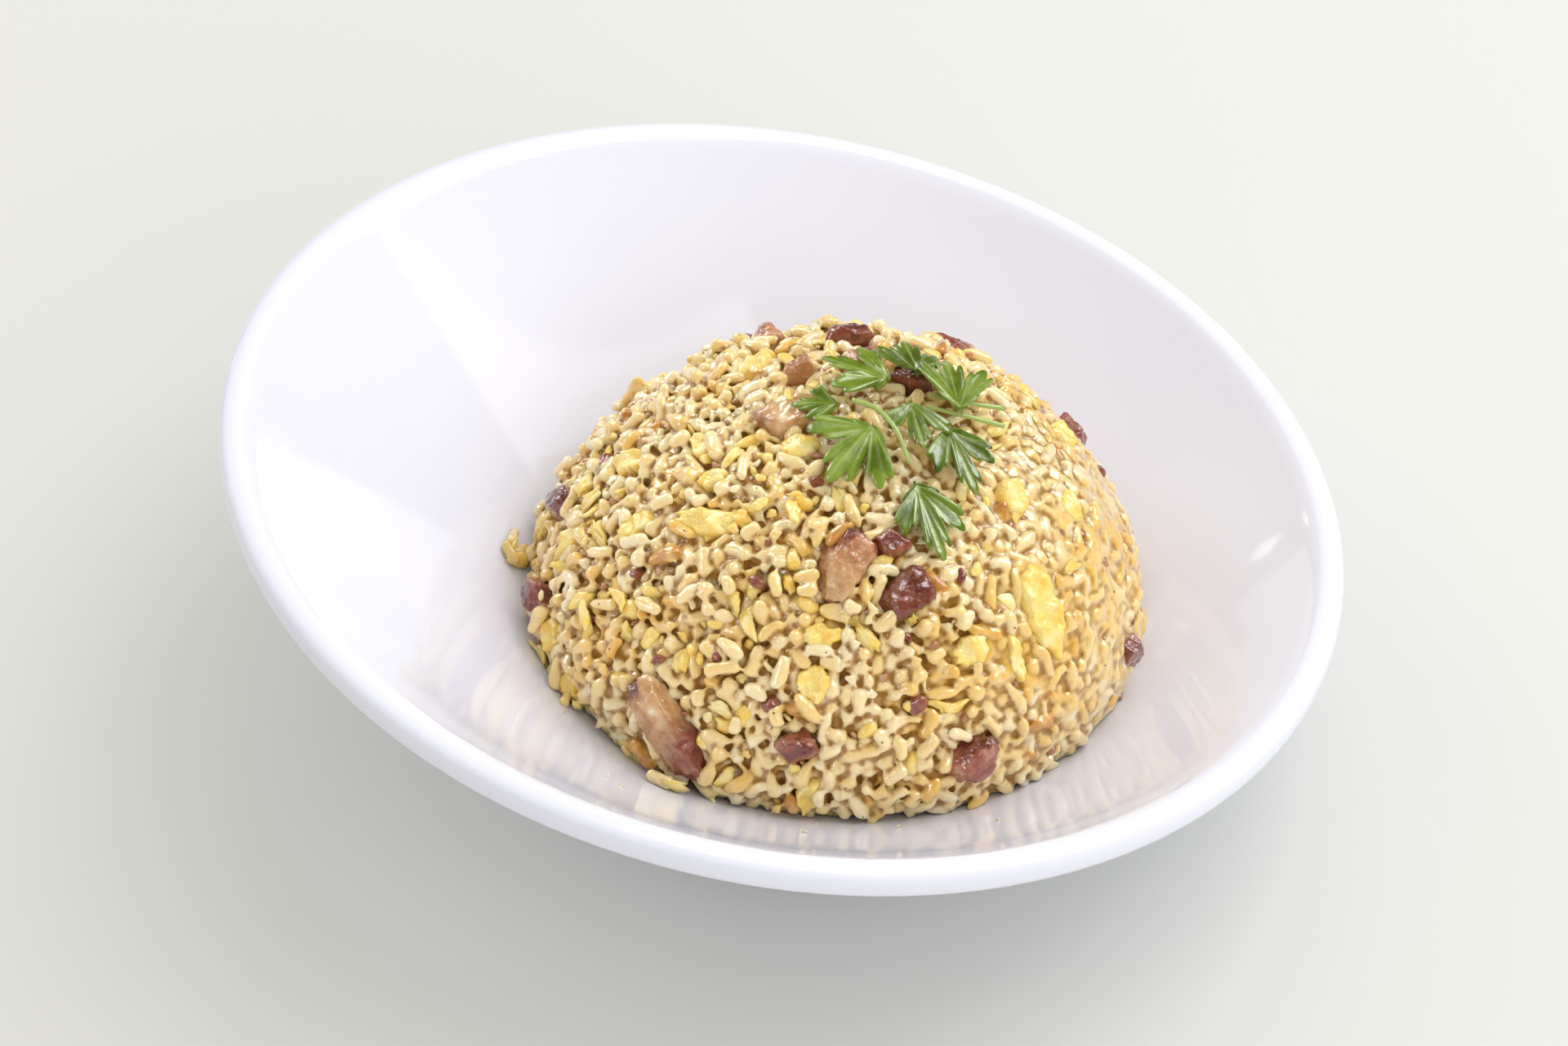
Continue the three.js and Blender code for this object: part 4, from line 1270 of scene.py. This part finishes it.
def build_leaves():
    rings, sides = 9, 130
    ring, angle = np.meshgrid(np.linspace(0, 1, rings + 1)[1:], full_turn(sides), indexing="ij")
    signed = (angle + math.pi) % TURN - math.pi
    crease = 0.25 * np.abs(np.sin(signed / LEAF_RIB * math.pi / 2)) * ring
    veins = 0.7 * np.abs(np.cos(signed / LEAF_RIB * math.pi / 2)) ** 40 * (1 - 0.5 * ring)
    for index, (name, x, y, heading, length, spread, lift, fold, phase) in enumerate(LEAVES):
        reach = length * ring * leaf_edge(signed, phase)
        forward = reach * np.cos(signed)
        side = reach * np.sin(signed) * (0.25 + spread)
        turn = math.radians(heading)
        px = x + forward * math.cos(turn) - side * math.sin(turn)
        py = y + forward * math.sin(turn) + side * math.cos(turn)
        wave = 0.7 * ring * np.sin(3 * signed + phase) + fold * np.abs(side) - crease
        wave += 0.25 * ring * np.sin(7 * signed + 2 * phase)
        wave += 1.1 * (ring ** 3 - 0.4) * np.sin(2 * signed + 3 * phase)
        pz = mound_top(px, py) + lift + wave
        sheet = np.vstack([[[x, y, mound_top(x, y) + lift]], np.stack([px, py, pz], -1).reshape(-1, 3)])
        half = np.array([0, 0, BLADE_HALF])
        darkness = 0.15 + 0.55 * ((index * 0.618 + 0.2) % 1)
        shade = darkness + np.random.default_rng(500 + index).normal(0, 0.03, len(sheet))
        piece = mesh_piece(name + "_blade", np.vstack([sheet + half, sheet - half]),
                           sheet_faces(rings, sides), LEAF, vein=np.tile(np.append(1, veins), 2),
                           shade=np.tile(np.clip(shade, 0, 1), 2))
        settle(piece, "coriander", name)


def build_stems():
    angles = full_turn(10)[:, None]
    for name, *places in STEMS:
        route = smooth_curve([(x, y, mound_top(x, y) + lift) for x, y, lift in places], 10)
        rows = []
        for i, point in enumerate(route):
            ahead = unit(route[min(i + 1, len(route) - 1)] - route[max(i - 1, 0)])
            side = unit(np.cross(ahead, (0, 0, 1)))
            over = np.cross(side, ahead)
            radius = STEM_RADIUS * (0.95 - 0.25 * i / len(route))
            rows.append(point + radius * (side * np.cos(angles) + over * np.sin(angles)))
        faces = grid_faces(len(route), len(angles), capped=True)
        piece = mesh_piece(name + "_stalk", np.vstack(rows), faces, LEAF, vein=0.75, shade=0.1)
        settle(piece, "coriander", name)


# ------ room, light and camera
def build_room():
    size = 3000
    corners = [(-size, -size, 0), (size, -size, 0), (size, size, 0), (-size, size, 0)]
    mesh_piece("table_top", corners, [(0, 1, 2, 3)], TABLE)
    world = bpy.data.worlds.new("studio")
    bpy.context.scene.world = world
    world.use_nodes = True
    world.cycles_visibility.glossy = False
    sky = world.node_tree.nodes["Background"]
    sky.inputs["Color"].default_value = (1, 0.97, 0.87, 1)
    sky.inputs["Strength"].default_value = 0.66


def add_softbox(name, place, facing, along, size, power, colour):
    """A rectangular lamp at a place in metres, turned away from 'facing', its width lying 'along'."""
    data = bpy.data.lights.new(name, "AREA")
    data.shape = "RECTANGLE"
    data.size, data.size_y = size
    data.energy = power
    data.color = colour
    lamp = bpy.data.objects.new(name, data)
    back = Vector(facing).normalized()
    width = Vector(along)
    width = (width - back * width.dot(back)).normalized()
    turned = Matrix((width, back.cross(width), back)).transposed()
    lamp.matrix_world = Matrix.Translation(place) @ turned.to_4x4()
    bpy.context.scene.collection.objects.link(lamp)
    return lamp


def build_lamps():
    """A cool key from behind, soft fill round it, and a small glint on the bowl's wall."""
    add_softbox("key", (0.63, 0.245, 1.19), (0.62, 0.25, 0.74), (-0.41, -0.70, 0.58), (1.43, 1), 7.8,
                (0.95, 0.975, 1))
    for name, away, power in (
            ("front", (0.62, -1.25, 0.80), 6.4), ("back_left", (-1.03, 0.95, 0.79), 5),
            ("back", (0.2, 1.15, 1.1), 4.4), ("right", (1.49, -0.16, 0.56), 2.8)):
        lamp = add_softbox(name, away, away, (1, 0.3, 0), (1, 1), power, (1, 0.98, 0.94))
        lamp.visible_glossy = False
    add_softbox("glint", (-0.9, 1.12, 0.42), (-0.6, 0.75, 0.27), (0, 0, 1), (0.07, 0.06), 0.05, (1, 1, 1))


def build_sheens():
    """Lamps that show only as highlights, and only on the food."""
    food = bpy.data.collections.new("food")
    for piece in bpy.context.scene.objects:
        if piece.type == "MESH" and piece.name not in ("bowl_white", "table_top"):
            food.objects.link(piece)
    for name, away, size, power in (
            ("sheen_back", (-0.8, 0.96, 1), 0.8, 19), ("sheen_right", (1, 0.4, 1.2), 0.7, 13),
            ("sheen_left", (-1.4, -0.48, 0.8), 0.5, 8)):
        sheen = add_softbox(name, away, away, (1, 0.3, 0), (size, size), power, (1, 1, 1))
        sheen.light_linking.receiver_collection = food
        sheen.visible_diffuse = False


def build_camera():
    """The camera looks along +Y and down; the focal length fits a picture of that width."""
    picture_width = 1920
    focal_pixels = 3985
    elevation = math.radians(41.54)
    distance = 0.753
    target = Vector((-0.0017, 0, 0.0462))
    data = bpy.data.cameras.new("camera")
    data.sensor_width = 36
    data.lens = focal_pixels / picture_width * data.sensor_width
    data.clip_start = 0.01
    camera = bpy.data.objects.new("camera", data)
    back = Vector((0, -math.cos(elevation), math.sin(elevation)))
    camera.location = target + back * distance
    camera.rotation_euler = (-back).to_track_quat("-Z", "Y").to_euler()
    bpy.context.scene.collection.objects.link(camera)
    bpy.context.scene.camera = camera


bpy.context.scene.view_settings.view_transform = "Standard"
for build in (build_camera, build_room, build_lamps, build_bowl, build_pork, build_egg, build_rice,
              build_core, build_bits, build_fallen, build_bowl_crumbs, build_leaves, build_stems,
              build_sheens):
    build()
